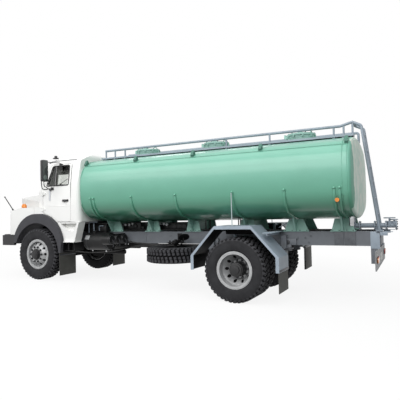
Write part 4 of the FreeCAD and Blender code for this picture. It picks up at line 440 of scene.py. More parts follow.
def mixed(material, factor, first, second):
    """Colour socket of a mix by a factor socket; first and second are sockets or colours."""
    nodes, links = material.node_tree.nodes, material.node_tree.links
    node = nodes.new('ShaderNodeMix')
    node.data_type = 'RGBA'
    for key, value in (('Factor', factor), ('A', first), ('B', second)):
        if isinstance(value, bpy.types.NodeSocket):
            links.new(value, node.inputs[key])
        else:
            node.inputs[key].default_value = (*value, 1)
    return node.outputs['Result']

def reckoned(owner, operation, *values):
    """Value socket of a math node whose inputs are sockets or numbers."""
    nodes, links = owner.node_tree.nodes, owner.node_tree.links
    node = nodes.new('ShaderNodeMath')
    node.operation = operation
    for socket, value in zip(node.inputs, values):
        if isinstance(value, bpy.types.NodeSocket):
            links.new(value, socket)
        else:
            socket.default_value = value
    return node.outputs['Value']


def chassis_place(material):
    """Object coordinates turned back into the chassis' own frame."""
    nodes, links = material.node_tree.nodes, material.node_tree.links
    back = CHASSIS.inverted()
    coords = nodes.new('ShaderNodeTexCoord')
    mapping = nodes.new('ShaderNodeMapping')
    mapping.inputs['Location'].default_value = back.translation
    mapping.inputs['Rotation'].default_value = back.to_euler()
    links.new(coords.outputs['Object'], mapping.inputs['Vector'])
    return mapping.outputs['Vector']


def window_glass(name, colour, shade=None):
    """Clear tinted glass; with a shade colour given, painted shade makes it darker ahead of the divider and along
    its top.
    """
    material, shader = new_finish(name)
    nodes, links = material.node_tree.nodes, material.node_tree.links
    cloud = pattern(material, 2.0)
    tint = ramp(material, cloud, 0.3, 0.7, shade_of(colour, 0.97), colour)
    if shade:
        split = nodes.new('ShaderNodeSeparateXYZ')
        links.new(chassis_place(material), split.inputs['Vector'])
        ahead = range_of(material, split.outputs['X'], 4.33, 4.345)
        high = range_of(material, split.outputs['Z'], 1.32, 1.335)
        tint = mixed(material, reckoned(material, 'MAXIMUM', ahead, high), tint, shade)
    links.new(tint, shader.inputs['Base Color'])
    shader.inputs['Roughness'].default_value = 0.03
    shader.inputs['Transmission Weight'].default_value = 1.0
    shader.inputs['IOR'].default_value = 1.45
    return material


SLOT_FINISH = {
    "frame_paint": "Frame paint", "axle_paint": "Axle black", "engine_iron": "Engine iron",
    "tyre": "Tyre rubber", "rim_silver": "Rim silver", "tank_green": "Tank green",
    "saddle_green": "Saddle green", "lug_green": "Lug green", "rail_grey": "Rail grey",
    "cab_white": "Cab white", "glass": "Window glass", "trim_black": "Trim black",
    "flare_rubber": "Flare moulding", "lamp_glass": "Lamp glass", "bumper_black": "Bumper black",
    "tank_black": "Equipment black", "guard_grey": "Guard grey", "flap_rubber": "Flap rubber",
    "board_grey": "Board grey", "lens_red": "Red lens", "lens_amber": "Amber lens",
    "rod_pale": "Stay pale",
}


# The bonnet takes a darker copy of the cab white, which paints shade on it.
NODE_FINISH = {
    "bonnet": "Bonnet white", "door_glass_left": "Door glass", "door_glass_right": "Door glass",
    "spare_carrier": "Axle black", "cab_interior": "Lining grey",
}


class TankerColours(bpy.types.PropertyGroup):
    """Paint colours of the truck."""
    tank: FloatVectorProperty(
        name="Tank", description="Paint of the tank shell", subtype='COLOR', size=3,
        min=0, max=1, default=tone("74B29D"))
    saddle: FloatVectorProperty(
        name="Saddles", description="Paint of the saddles and manhole necks", subtype='COLOR',
        size=3, min=0, max=1, default=tone("97BFB4"))
    lug: FloatVectorProperty(
        name="Lifting lugs", description="Paint of the diamond lugs", subtype='COLOR', size=3,
        min=0, max=1, default=tone("447466"))
    cab: FloatVectorProperty(
        name="Cab", description="Paint of cab, bonnet and wings", subtype='COLOR', size=3,
        min=0, max=1, default=tone("F4F4F2"))
    steel: FloatVectorProperty(
        name="Frame", description="Paint of the frame rails", subtype='COLOR', size=3,
        min=0, max=1, default=tone("6C7076"))
    rail: FloatVectorProperty(
        name="Rails and guards", description="Paint of handrails and mudguards",
        subtype='COLOR', size=3, min=0, max=1, default=tone("8E99A4"))
    rim: FloatVectorProperty(
        name="Rims", description="Paint of the wheel rims", subtype='COLOR', size=3,
        min=0, max=1, default=tone("B9BABB"))
    rubber: FloatVectorProperty(
        name="Rubber", description="Tyres, flaps and mouldings", subtype='COLOR', size=3,
        min=0, max=1, default=tone("28282A"))


class TreadSizes(bpy.types.PropertyGroup):
    """Sizes of the tyre tread and wheel fasteners."""
    pitches: IntProperty(
        name="Lugs per row", description="Tread lugs round each tyre", default=42, min=20, max=90)
    depth: FloatProperty(
        name="Tread depth", description="Depth of the tread grooves", default=0.016,
        min=0.004, max=0.03, unit='LENGTH')
    nuts: IntProperty(
        name="Wheel nuts", description="Nuts on each wheel", default=10, min=5, max=12)
    nut_circle: FloatProperty(
        name="Nut circle", description="Radius of the circle of wheel nuts", default=0.1675,
        min=0.1, max=0.25, unit='LENGTH')


class TANKER_OT_finishes(bpy.types.Operator):
    """Make every paint and surface, and put them on the frame's nodes"""
    bl_idname = "tanker.finishes"
    bl_label = "Finishes"

    def execute(self, context):
        colours = context.scene.tanker_colours
        tank_paint(colours)
        paint("Frame paint", tuple(colours.steel), 0.5, 0.82, scale=4.0, bump=0.1)
        paint("Axle black", tone("181819"), 0.65, 0.7, scale=8.0, bump=0.2, gloss=0.2)
        paint("Engine iron", tone("2B2B2D"), 0.6, 0.7, scale=8.0, bump=0.2, gloss=0.3)
        paint("Rim silver", tuple(colours.rim), 0.4, 0.8, metallic=0.2, scale=10.0)
        paint("Saddle green", tuple(colours.saddle), 0.45, 0.85, scale=5.0)
        paint("Lug green", tuple(colours.lug), 0.5, 0.85, scale=9.0)
        paint("Rail grey", tuple(colours.rail), 0.42, 0.85, scale=5.0)
        # Painted light: a lighter copy of the rail paint for guards, brackets, frame ends and the hung sheet,
        # standing in for light on their slopes.
        paint("Guard grey", shade_of(colours.rail, 1.35), 0.45, 0.8, scale=3.0)
        paint("Cab white", tuple(colours.cab), 0.34, 0.965, coat=0.06, scale=1.5, gloss=0.22)
        # Painted shade: a darker copy of the cab white for the bonnet, standing in for the shade on its sides.
        paint("Bonnet white", shade_of(colours.cab, 0.76), 0.4, 0.965, scale=1.5, gloss=0.12)
        # Painted shadow: the dark grey of the gutters stands in for the shadow line under the drip rail.
        paint("Seam grey", tone("6E7073"), 0.5, 0.9, scale=4.0)
        paint("Trim black", tone("2A2A2C"), 0.5, 0.8, scale=12.0, bump=0.1)
        paint("Flare moulding", tone("424246"), 0.6, 0.85, scale=5.0, bump=0.15, gloss=0.3)
        paint("Bumper black", tone("2B2B2D"), 0.5, 0.8, scale=5.0, bump=0.1)
        paint("Equipment black", tone("161617"), 0.45, 0.7, scale=6.0, bump=0.1, gloss=0.3)
        paint("Flap rubber", tone("444440"), 0.7, 0.75, scale=6.0, bump=0.2)
        paint("Board grey", tone("8A8C8E"), 0.5, 0.8, scale=6.0)
        paint("Stay pale", tone("B8C4C6"), 0.4, 0.9, scale=6.0)
        paint("Bright steel", tone("B5B6B8"), 0.25, 0.85, metallic=1.0, scale=15.0)
        paint("Dull steel", tone("8C8E90"), 0.45, 0.75, metallic=0.5, scale=15.0)
        paint("Plate steel", shade_of(colours.steel, 0.8), 0.5, 0.7, scale=9.0, bump=0.1)
        paint("Dark steel", tone("4A4B4E"), 0.4, 0.8, metallic=0.8, scale=15.0)
        paint("Cushion cloth", tone("5A5852"), 0.9, 0.8, scale=30.0, bump=0.3)
        paint("Plate white", tone("D8D8D4"), 0.5, 0.9, scale=5.0)
        rubber_finish("Tyre rubber", tuple(colours.rubber), 1.7)
        # Painted light and shade: the lugs get a lighter copy of the rubber and the groove floor a much darker
        # one.
        rubber_finish("Tread rubber", shade_of(colours.rubber, 2.0), 1.6)
        rubber_finish("Tread floor", shade_of(colours.rubber, 0.2), 1.2, 0.05)
        lens("Red lens", tone("B8261E"))
        lens("Amber lens", tone("E88A2E"))
        lens("Lamp glass", tone("D5DADC"))
        window_glass("Window glass", tone("ECEEEB"))
        # Painted shade: the door glass turns dark grey ahead of X 4.33 and above Z 1.32 in the chassis frame.
        window_glass("Door glass", tone("ECEEEB"), tone("434542"))
        # Painted reflections: the mirror faces carry the dark grey and grey-green they reflect.
        paint("Mirror face", tone("3E4543"), 0.14, 0.7, coat=0.4, scale=4.0)
        paint("Small mirror face", tone("67746F"), 0.2, 0.8, coat=0.4, scale=8.0)
        paint("Lining grey", tone("3A3B3C"), 0.8, 0.85, scale=12.0, bump=0.1)
        paint("Cab shade", tone("D3D6DB"), 0.35, 0.95, coat=0.3, scale=3.0)
        paint("Hub black", tone("1A1A1C"), 0.45, 0.75, scale=12.0, bump=0.1)
        slots = {part["node"]: part["material_slot"] for part in frame["record"]["subparts"]}
        for node, obj in frame["nodes"].items():
            obj.data.materials.clear()
            finish = NODE_FINISH.get(node, SLOT_FINISH[slots[node]])
            obj.data.materials.append(bpy.data.materials[finish])
            round_off(obj, 30)
        return {'FINISHED'}


def tank_paint(colours):
    """Gloss green with painted shade darkening it low down; the rear dome is duller, with a pale bare patch."""
    material, shader = new_finish("Tank green")
    nodes, links = material.node_tree.nodes, material.node_tree.links
    green = tuple(colours.tank)
    cloud = pattern(material, 1.6, 4.0, (1, 1, 1.6))
    tint = ramp(material, cloud, 0.35, 0.7, shade_of(green, 0.93), green)
    split = nodes.new('ShaderNodeSeparateXYZ')
    links.new(chassis_place(material), split.inputs['Vector'])
    # Painted shade: below Z 1.1 in the chassis frame the green is mixed towards a darker green, almost fully by Z
    # 0.34, standing in for the shade low on the tank.
    low = range_of(material, split.outputs['Z'], 1.1, 0.34, 0.0, 0.95)
    painted_low_shade = (green[0] * 0.4, green[1] * 0.62, green[2] * 0.5)
    tint = mixed(material, low, tint, painted_low_shade)
    edge = pattern(material, 2.4, 4.0, (0.2, 1, 1))
    aside = reckoned(material, 'ABSOLUTE', split.outputs['Y'])
    reach = reckoned(material, 'MULTIPLY_ADD', edge, 0.4, aside)
    middle = range_of(material, reach, 1.155, 1.145)
    bare = reckoned(material, 'MULTIPLY', middle,
                    range_of(material, split.outputs['X'], -2.012, -2.018))
    old = ramp(material, pattern(material, 5.0, 6.0), 0.4, 0.62, tone("C6E2D2"), tone("E4EFE2"))
    tint = mixed(material, bare, tint, old)
    links.new(tint, shader.inputs['Base Color'])
    behind = range_of(material, split.outputs['X'], -2.0, -1.985)
    links.new(range_of(material, behind, 0.0, 1.0, 0.55, 0.36), shader.inputs['Roughness'])
    links.new(range_of(material, behind, 0.0, 1.0, 0.12, 0.45), shader.inputs['Coat Weight'])
    shader.inputs['Specular IOR Level'].default_value = 0.35
    shader.inputs['Coat Roughness'].default_value = 0.16
    bumped(material, shader, pattern(material, 2.2, 1.0), 0.18, 0.01)


def rubber_finish(name, base, dust, gloss=0.2):
    """Rubber with pale dust in patches."""
    material, shader = new_finish(name)
    cloud = pattern(material, 7.0, 5.0)
    tint = ramp(material, cloud, 0.35, 0.75, base, shade_of(base, dust))
    material.node_tree.links.new(tint, shader.inputs['Base Color'])
    shader.inputs['Roughness'].default_value = 0.75
    shader.inputs['Specular IOR Level'].default_value = gloss
    bumped(material, shader, pattern(material, 90.0), 0.3, 0.0015)


# Wheels

WHEELS = (
    ("front_left", "front_wheel_left", (WHEELBASE, FRONT_WHEEL_Y, FRONT_AXLE_Z)),
    ("front_right", "front_wheel_right", (WHEELBASE, -FRONT_WHEEL_Y, FRONT_AXLE_Z)),
    ("rear_left_outer", "rear_wheels_left", (0, REAR_WHEEL_Y, REAR_AXLE_Z)),
    ("rear_left_inner", "rear_wheels_left", (0, REAR_WHEEL_Y - DUAL_SPACING, REAR_AXLE_Z)),
    ("rear_right_outer", "rear_wheels_right", (0, -REAR_WHEEL_Y, REAR_AXLE_Z)),
    ("rear_right_inner", "rear_wheels_right", (0, DUAL_SPACING - REAR_WHEEL_Y, REAR_AXLE_Z)),
)
SPARE_PLACE = (1.52, 0.655, -0.445)


def tyre_lug(sizes):
    """One lug of the left row: two skewed blocks and an arm folded over the shoulder."""
    outer = TYRE_RADIUS - 0.0015
    half = 0.29 * 2 * math.pi * outer / sizes.pitches
    floor = outer - sizes.depth - 0.004
    pieces = []
    for near, far in ((0.012, 0.062), (0.070, 0.131)):
        block = slab("lug", (-half, near, floor), (half, far, outer))
        bpy.ops.object.mode_set(mode='EDIT')
        bpy.ops.mesh.select_all(action='SELECT')
        bpy.ops.transform.rotate(value=math.radians(-14), orient_axis='Z',
                                 center_override=(0, 0.07, outer))
        bpy.ops.object.mode_set(mode='OBJECT')
        pieces.append(chamfer(block, 0.004, 1))
    arm = slab("lug_arm", (0.012 - half * 0.8, 0.118, outer - 0.056),
               (0.012 + half * 0.8, 0.152, outer - 0.006))
    for item in (*arm.data.polygons, *arm.data.edges):
        item.select = False
    for vertex in arm.data.vertices:
        vertex.select = vertex.co.y > 0.15 and vertex.co.z > outer - 0.01
    bpy.ops.object.mode_set(mode='EDIT')
    bpy.ops.transform.translate(value=(0, -0.006, -0.028))
    bpy.ops.object.mode_set(mode='OBJECT')
    pieces.append(chamfer(arm, 0.003, 1))
    return joined("lug", pieces)


def tyre_model(sizes):
    """Carcass with bead, bulging walls, shoulder and grooved tread, with its lugs."""
    floor = TYRE_RADIUS - sizes.depth
    half = [(0.0, floor), (0.1, floor), (0.124, floor - 0.003), (0.141, floor - 0.018),
            (0.149, 0.535), (0.1555, 0.5), (0.1575, 0.45), (0.156, 0.415), (0.149, 0.385),
            (0.138, 0.358), (0.124, 0.344), (0.114, 0.342), (0.112, 0.306)]
    left = [(-y, r) for y, r in reversed(half[1:])]
    carcass = turned("carcass", left + half, 96, closed=True)
    for finish in ("Tyre rubber", "Tread floor", "Tread rubber"):
        carcass.data.materials.append(bpy.data.materials[finish])
    # Faces of the groove floor take the darker copy of the rubber, painted shade in the grooves.
    for face in carcass.data.polygons:
        face.material_index = int(math.hypot(face.center.x, face.center.z) > floor - 0.012)
    ridge = turned("wall_ridge", [(0.1490, 0.524), (0.1560, 0.522), (0.1560, 0.517),
                                  (0.1520, 0.515)], 96)
    ring = turned("bead_ridge", [(0.1400, 0.368), (0.1480, 0.372), (0.1510, 0.380),
                                 (0.1480, 0.384)], 96)
    for piece in (ridge, ring):
        piece.data.materials.append(bpy.data.materials["Tyre rubber"])
    lug = tyre_lug(sizes)
    other = copy_at(lug, Matrix.Rotation(math.pi / sizes.pitches, 4, 'Y')
                    @ Matrix.Rotation(math.pi, 4, 'Z'), "lug_other")
    pair = around(joined("lugs", [lug, other]), sizes.pitches)
    pair.data.materials.append(bpy.data.materials["Tread rubber"])
    return joined("tyre_model", [carcass, ridge, ring, pair])


class TANKER_OT_tyres(bpy.types.Operator):
    """Tyres with a lugged tread on every wheel and the spare"""
    bl_idname = "tanker.tyres"
    bl_label = "Tyres"

    def execute(self, context):
        sizes = context.scene.tanker_tread
        model = tyre_model(sizes)
        pieces = {}
        for name, body, place in WHEELS:
            turn = Matrix.Rotation(math.pi, 4, 'Z') if place[1] < 0 else Matrix.Identity(4)
            pieces[name] = copy_at(model, Matrix.Translation(place) @ turn, "tread_" + name)
        for side in ("left", "right"):
            fit(pieces["front_" + side], "front_wheel_" + side, None)
            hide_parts("tyre_front_" + side)
            pair = joined("tread_rear_" + side, [pieces["rear_%s_outer" % side],
                                                 pieces["rear_%s_inner" % side]])
            fit(pair, "rear_wheels_" + side, None)
            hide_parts("tyres_rear_" + side)
        lie = Matrix.Translation(SPARE_PLACE) @ Matrix.Rotation(math.pi / 2, 4, 'X')
        spare = copy_at(model, lie, "tread_spare")
        fit(spare, "chassis", None)
        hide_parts("spare_tyre")
        bpy.data.objects.remove(model)
        return {'FINISHED'}


# Wheel trim

FRONT_FACE = 0.16
REAR_FACE = -0.1585
LOCK_RING_Y = 0.131
FRONT_HUB = ((0.016, 0.128), (0.03, 0.112), (0.062, 0.1), (0.072, 0.066))
REAR_HUB = ((0.02, 0.141), (0.2, 0.132), (0.228, 0.118), (0.252, 0.078))

def hub_model(name, face, steps):
    """Dark hub cover stepping outward from the wheel face."""
    pieces = [bar(name, (0, face - 0.01, 0), (0, face + y, 0), radius, 48, 0.005)
              for y, radius in steps]
    return joined(name, pieces)


def nut_model(face, circle, count, length):
    """Ring of wheel nuts with washers and stud ends."""
    x = circle
    pieces = [bar("nuts", (x, face - 0.002, 0), (x, face + 0.004, 0), 0.026, 20),
              bar("nuts", (x, face, 0), (x, face + length, 0), 0.0195, 6, 0.002),
              bar("nuts", (x, face + length - 0.004, 0), (x, face + length + 0.012, 0), 0.0105, 12)]
    return around(joined("nuts", pieces), count)


def set_trim(model, place, name, body, finish):
    """Move a trim model onto its wheel and fit it there."""
    fit(moved(model, place, name), body, finish)

def wheel_trim(which, side, body, place, sizes):
    """Hub cover, nuts, hole shade, lock ring, a black ring and liner that paint shade inside the rim, and valve of
    one outer wheel.
    """
    front = which == "front"
    face = FRONT_FACE if front else REAR_FACE
    end = "%s_%s" % (which, side)
    set_trim(hub_model("hub", face, FRONT_HUB if front else REAR_HUB), place, "hub_" + end, body,
             "Hub black")
    set_trim(nut_model(face, sizes.nut_circle, sizes.nuts, 0.024 if front else 0.04), place,
             "nuts_" + end, body, "Dark steel")
    near, deep = (face - 0.03, 0.012) if front else (face - 0.022, -0.055)
    shade = turned("shade", [(near, 0.196), (deep, 0.272), (deep - 0.004, 0.272),
                             (near - 0.004, 0.196)], 64, closed=True)
    set_trim(shade, place, "hole_shade_" + end, body, "Axle black")
    lock = turned("lock", [(LOCK_RING_Y - 0.004, 0.332), (LOCK_RING_Y + 0.003, 0.329),
                           (LOCK_RING_Y + 0.003, 0.318), (LOCK_RING_Y - 0.004, 0.315)], 96,
                  closed=True)
    set_trim(lock, place, "lock_ring_" + end, body, "Rim silver")
    # Painted shade: a black ring and a black liner inside the rim stand in for the shade on the wheel's inner
    # side.
    inside = turned("inner_ring", [(-0.136, 0.334), (-0.139, 0.334), (-0.139, 0.284),
                                   (-0.136, 0.284)], 96, closed=True)
    set_trim(inside, place, "inner_ring_" + end, body, "Axle black")
    start = -0.05 if front else -0.1
    liner = turned("liner", [(start, 0.2865), (start - 0.1, 0.2865), (start - 0.1, 0.283),
                             (start, 0.283)], 64, closed=True)
    set_trim(liner, place, "liner_" + end, body, "Axle black")
    valve = tube("valve", [(0.0, face, 0.255), (0.0, face + 0.03, 0.262),
                           (0.0, face + 0.05, 0.275)], 0.006)
    set_trim(valve, place, "valve_" + end, body, "Bright steel")

class TANKER_OT_wheels(bpy.types.Operator):
    """Hub covers, nuts, hand-hole shades and valves on the wheels"""
    bl_idname = "tanker.wheel_trim"
    bl_label = "Wheel trim"

    def execute(self, context):
        sizes = context.scene.tanker_tread
        for sign, side in SIDES:
            turn = Matrix.Identity(4) if sign > 0 else Matrix.Rotation(math.pi, 4, 'Z')
            front = Matrix.Translation((WHEELBASE, sign * FRONT_WHEEL_Y, FRONT_AXLE_Z)) @ turn
            rear = Matrix.Translation((0, sign * REAR_WHEEL_Y, REAR_AXLE_Z)) @ turn
            wheel_trim("front", side, "front_wheel_" + side, front, sizes)
            wheel_trim("rear", side, "rear_wheels_" + side, rear, sizes)
        return {'FINISHED'}


# Cab trim

def skin_y(z):
    """Left side of the cab at a height, along the slant of the windows."""
    return 1.1035 - max(0.0, z - BELT_Z) * 0.1375


def on_side(x, z, out=0.0):
    return Vector((x, skin_y(z) + out, z))


def screen_spot(y, z, out=0.0):
    """Point on the slanting windscreen."""
    share = (z - 1.01) / 0.63
    return Vector((4.905 - 0.245 * share + 0.93 * out, y, z + 0.36 * out))


def add_door_rubbers():
    """Rubber round each door window, with its divider."""
    outline = [(4.0, 1.083), (4.662, 1.083), (4.505, 1.537), (4.0, 1.537)]
    ring = softened([on_side(x, z, 0.001) for x, z in outline], 0.04)
    rubber = tube("window_rubber_left", ring, 0.013, True)
    post = tube("post", [on_side(4.425, 1.085, 0.0), on_side(4.425, 1.535, 0.0)], 0.014)
    both(joined("window_rubber_left", [rubber, post]), "door_left", "Trim black",
         "door_right")

def add_screen_rubbers():
    """Rubbers of the windscreen and the rear window."""
    frame_ring = softened([screen_spot(-0.905, 1.045, 0.002), screen_spot(0.905, 1.045, 0.002),
                           screen_spot(0.85, 1.595, 0.002), screen_spot(-0.85, 1.595, 0.002)],
                          0.08)
    fit(tube("windscreen_rubber", frame_ring, 0.016, True), "chassis", "Trim black")
    rear_ring = softened([(3.692, -0.525, 1.125), (3.692, 0.525, 1.125),
                          (3.692, 0.505, 1.485), (3.692, -0.505, 1.485)], 0.06)
    fit(tube("rear_window_rubber", rear_ring, 0.012, True), "chassis", "Trim black")

def add_wipers():
    """Two wipers at the foot of the windscreen."""
    wipers = []
    for y in (0.62, -0.18):
        foot = screen_spot(y, 1.02, 0.02)
        elbow = screen_spot(y - 0.2, 1.2, 0.03)
        tip = screen_spot(y - 0.42, 1.36, 0.014)
        wipers += [bar("wiper", foot - Vector((0.01, 0, 0.02)), foot + Vector((0.01, 0, 0.02)),
                       0.016, 12), tube("wiper", [foot, elbow], 0.007),
                   tube("wiper", [screen_spot(y - 0.02, 1.12, 0.014), elbow, tip], 0.006)]
    fit(joined("wipers", wipers), "chassis", "Trim black")

def add_door_handles():
    """Plate and grip of each door handle."""
    plate = slab("handle", (3.985, 1.119, 0.712), (4.165, 1.127, 0.758), 0.006)
    grip = tube("grip", softened([(4.01, 1.118, 0.735), (4.01, 1.1615, 0.735),
                                  (4.14, 1.1615, 0.728), (4.14, 1.118, 0.728)], 0.02,
                                 closed=False), 0.0135)
    both(joined("door_handle_left", [plate, grip]), "door_left", "Trim black",
         "door_right")

def add_creases():
    """Creases along doors and body, and the gutters over the doors, coloured dark grey as painted shadow under the
    drip rail.
    """
    crease = tube("door_crease_left", [(3.94, SKIN_Y, CREASE_Z), (4.745, SKIN_Y, CREASE_Z)], 0.006)
    both(crease, "door_left", "Cab white", "door_right")
    side_crease = tube("body_crease_left", [(3.8, SKIN_Y, CREASE_Z), (3.922, SKIN_Y, CREASE_Z)],
                       0.006)
    both(side_crease, "chassis", "Cab white")
    gutter = tube("gutter_left", softened([(3.8, 1.034, 1.652), (4.55, 1.034, 1.652),
                                           (4.69, 1.01, 1.60), (4.76, 0.985, 1.42)], 0.06,
                                          closed=False), 0.009)
    both(gutter, "chassis", "Seam grey")

def add_mirror_trim():
    """Mirror faces painted with the colours they reflect, and the loops that carry the mirrors."""
    face = slab("mirror_face_left", (4.4255, 1.29, 1.18), (4.432, 1.434, 1.636), 0.003)
    both(face, "door_left", "Mirror face", "door_right")
    small = bar("small_mirror_left", (4.421, 1.362, 1.255), (4.429, 1.362, 1.255), 0.056, 32,
                0.004)
    both(small, "door_left", "Small mirror face", "door_right")
    loop = softened([(4.475, 1.36, 1.60), (4.475, 1.434, 1.55), (4.475, 1.434, 1.1),
                     (4.475, 1.41, 1.0), (4.475, 1.33, 0.985), (4.49, 1.24, 1.0)], 0.03,
                    closed=False)
    both(tube("mirror_loop_left", loop, 0.011), "door_left", "Trim black",
         "door_right")

def add_roof_lamps():
    """Foot and dome of each roof lamp."""
    lamp_foot = slab("roof_lamp_left", (4.54, 0.83, 1.735), (4.66, 0.91, 1.765), 0.01)
    dome = bar("dome", (4.60, 0.87, 1.755), (4.60, 0.87, 1.81), 0.034, 24, 0.014)
    both(joined("roof_lamp_left", [lamp_foot, dome]), "chassis", "Trim black")

def add_door_fittings():
    """A painted shade strip, small fittings, seals and locks on the doors."""
    # Painted shade: a thin light grey-blue slab below the mirror foot stands in for the shading under the mirror
    # bracket.
    cover = slab("door_fitting_left", (4.53, SKIN_Y, 0.74), (4.58, 1.123, 0.99), 0.002)
    both(cover, "door_left", "Cab shade", "door_right")
    top = assembled("door_top_left", [((4.25, 1.045, 1.552), (4.31, 1.062, 1.578))],
                    [((4.50, 1.118, 0.98), (4.56, 1.13, 1.0), 0.018)])
    both(top, "door_left", "Trim black", "door_right")
    seal = [bar("seal", on_side(DOOR_REAR_X, low, 0.010), on_side(DOOR_REAR_X, high, 0.010), 0.0032, 8)
            for low, high in ((0.29, BELT_Z), (BELT_Z, 1.55))]
    both(joined("door_seal_left", seal), "door_left", "Axle black", "door_right")
    lock = bar("door_lock_left", (4.06, 1.117, 0.655), (4.06, 1.124, 0.655), 0.011, 16, 0.002)
    both(lock, "door_left", "Bright steel", "door_right")

class TANKER_OT_windows(bpy.types.Operator):
    """Window rubbers, dividers, wipers, handles, mirror faces and roof lamps"""
    bl_idname = "tanker.cab_trim"
    bl_label = "Cab trim"

    def execute(self, context):
        add_door_rubbers()
        add_screen_rubbers()
        add_wipers()
        add_door_handles()
        add_creases()
        add_mirror_trim()
        add_roof_lamps()
        add_door_fittings()
        return {'FINISHED'}


# Tank trim

# Arcs of the section's upper left quarter: centre (y, z), radius, first and last angle from the
# vertical in degrees, and steps
TANK_ARCS = (((0.0, -1.306), 3.0, (0.0, 16.8), 6), ((0.7473, 1.1651), 0.43, (16.8, 79.8), 12),
             ((-0.41, 0.957), 1.6, (79.8, 90.0), 4))
TANK_MIDDLE = 0.957


def tank_outline(grow=0.0):
    """Left half of the tank's section, top to bottom, moved outward by grow."""
    upper = []
    for (y, z), radius, (first, last), steps in TANK_ARCS:
        for step in range(steps):
            turn = math.radians(first + (last - first) * step / steps)
            upper.append((y + (radius + grow) * math.sin(turn), z + (radius + grow) * math.cos(turn)))
    upper.append((1.19 + grow, TANK_MIDDLE))
    return upper + [(y, 2 * TANK_MIDDLE - z) for y, z in reversed(upper[:-1])]


def whole_ring(x):
    """The tank's whole section at x."""
    left = tank_outline()
    return [(x, y, z) for y, z in left] + [(x, -y, z) for y, z in reversed(left[1:-1])]


def add_rib_caps():
    """Round caps along the ribs, from side to side under the belly."""
    end_y, end_z = RIB_END
    belly = [RIB_END] + [(y, z) for y, z in tank_outline(0.003) if z < 0.748]
    caps = []
    for x in RIB_X:
        run = [(x, y, z) for y, z in belly] + [(x, -y, z) for y, z in reversed(belly[:-1])]
        caps.append(tube("cap", run, RIB_RADIUS, False, 3))
        for y in (end_y, -end_y):
            deselect()
            bpy.ops.mesh.primitive_uv_sphere_add(segments=16, ring_count=8, radius=RIB_RADIUS,
                                                 location=(x, y, end_z))
            caps.append(settle(named("cap")))
    fit(joined("rib_caps", caps), "chassis", "Tank green")

def add_tank_seams():
    """Weld seams round and along the tank."""
    seams = [tube("seam", whole_ring(x), SEAM_RADIUS, True)
             for x in (3.553, -1.91, -1.988)]
    for y in (1.0529, -1.0529):
        seams.append(tube("seam", [(3.55, y, 1.4676), (-1.985, y, 1.4676)], SEAM_RADIUS))
    fit(joined("tank_seams", seams), "chassis", "Tank green")

def add_lid_trim():
    """Bolts and vents on the lids, and lugs on the necks."""
    for name, x in LIDS:
        heads = bolts("lid_bolts_" + name, [(x + 0.256, 0, 1.872)], (0, 0, 1), 0.011, 0.014)
        fit(around(heads, 12, (0, 0, 1), (x, 0, 0)), "lid_" + name, "Dark steel")
        cap = assembled("lid_vent_" + name, bars=[((x, 0.1, 1.88), (x, 0.1, 1.905), 0.05),
                                                  ((x, 0.1, 1.9), (x, 0.1, 1.922), 0.03)])
        fit(cap, "lid_" + name, "Saddle green")
        lugs = slab("neck_lugs_" + name, (x + 0.262, -0.012, 1.79), (x + 0.284, 0.012, 1.836), 0.003)
        fit(around(lugs, 10, (0, 0, 1), (x, 0, 0)), "chassis", "Saddle green")

def add_walkway_treads():
    """Cross bars of both walkways."""
    for side, which in SIDES:
        [(low, high)] = sided(side, ((-2.02, 0.36, 1.71), (-2.008, 0.49, 1.7135)))
        tread = repeated(slab("walkway_tread_" + which, low, high), 138, (0.04, 0, 0))
        fit(tread, "chassis", "Rail grey")

def add_foot_bolts():
    """Bolts in the feet of the saddles."""
    feet = ((3.29, 0.54), (2.2, 0.36), (1.21, 0.33), (0.01, 0.36), (-0.955, 0.45), (-1.79, 0.4))
    places = [(x + share * length, y, 0.013) for x, length in feet
              for share in (-0.44, -0.16, 0.16, 0.44) for y in (0.442, -0.442)]
    fit(bolts("foot_bolts", places, (0, 0, 1), 0.013, 0.012), "chassis", "Dark steel")

class TANKER_OT_tank(bpy.types.Operator):
    """Rib caps, weld seams, lid fasteners, walkway tread and foot bolts"""
    bl_idname = "tanker.tank_trim"
    bl_label = "Tank trim"

    def execute(self, context):
        add_rib_caps()
        add_tank_seams()
        add_lid_trim()
        add_walkway_treads()
        add_foot_bolts()
        return {'FINISHED'}


# Gear on the frame

def add_gear_behind_cab():
    """Boxes and a round tank between cab and tank."""
    behind_cab = assembled("gear_behind_cab", [
        ((3.34, 0.44, 0.005), (3.66, 0.62, 0.15)), ((3.70, 0.44, 0.005), (3.93, 0.64, 0.2)),
        ((3.46, 0.3, 0.1), (3.9, 0.45, 0.22)), ((3.36, 0.5, -0.02), (3.92, 0.6, 0.01))],
        [((3.38, 0.50, 0.18), (3.88, 0.50, 0.18), 0.045)], 0.008)
    fit(behind_cab, "chassis", "Equipment black")

def add_cab_pipes():
    """Pipes that rise behind the cab."""
    pipes = [tube("pipe", softened([(3.8, 0.665, -0.02), (3.8, 0.665, 0.225), (3.62, 0.6, 0.228)],
                                   0.05, closed=False), 0.014),
             tube("pipe", [(3.66, 0.66, -0.02), (3.66, 0.66, 0.2)], 0.012),
             tube("pipe", softened([(3.53, 0.62, 0.03), (3.53, 0.64, 0.14), (3.4, 0.64, 0.14)],
                                   0.04, closed=False), 0.012)]
    fit(joined("cab_pipes", pipes), "chassis", "Rail grey")

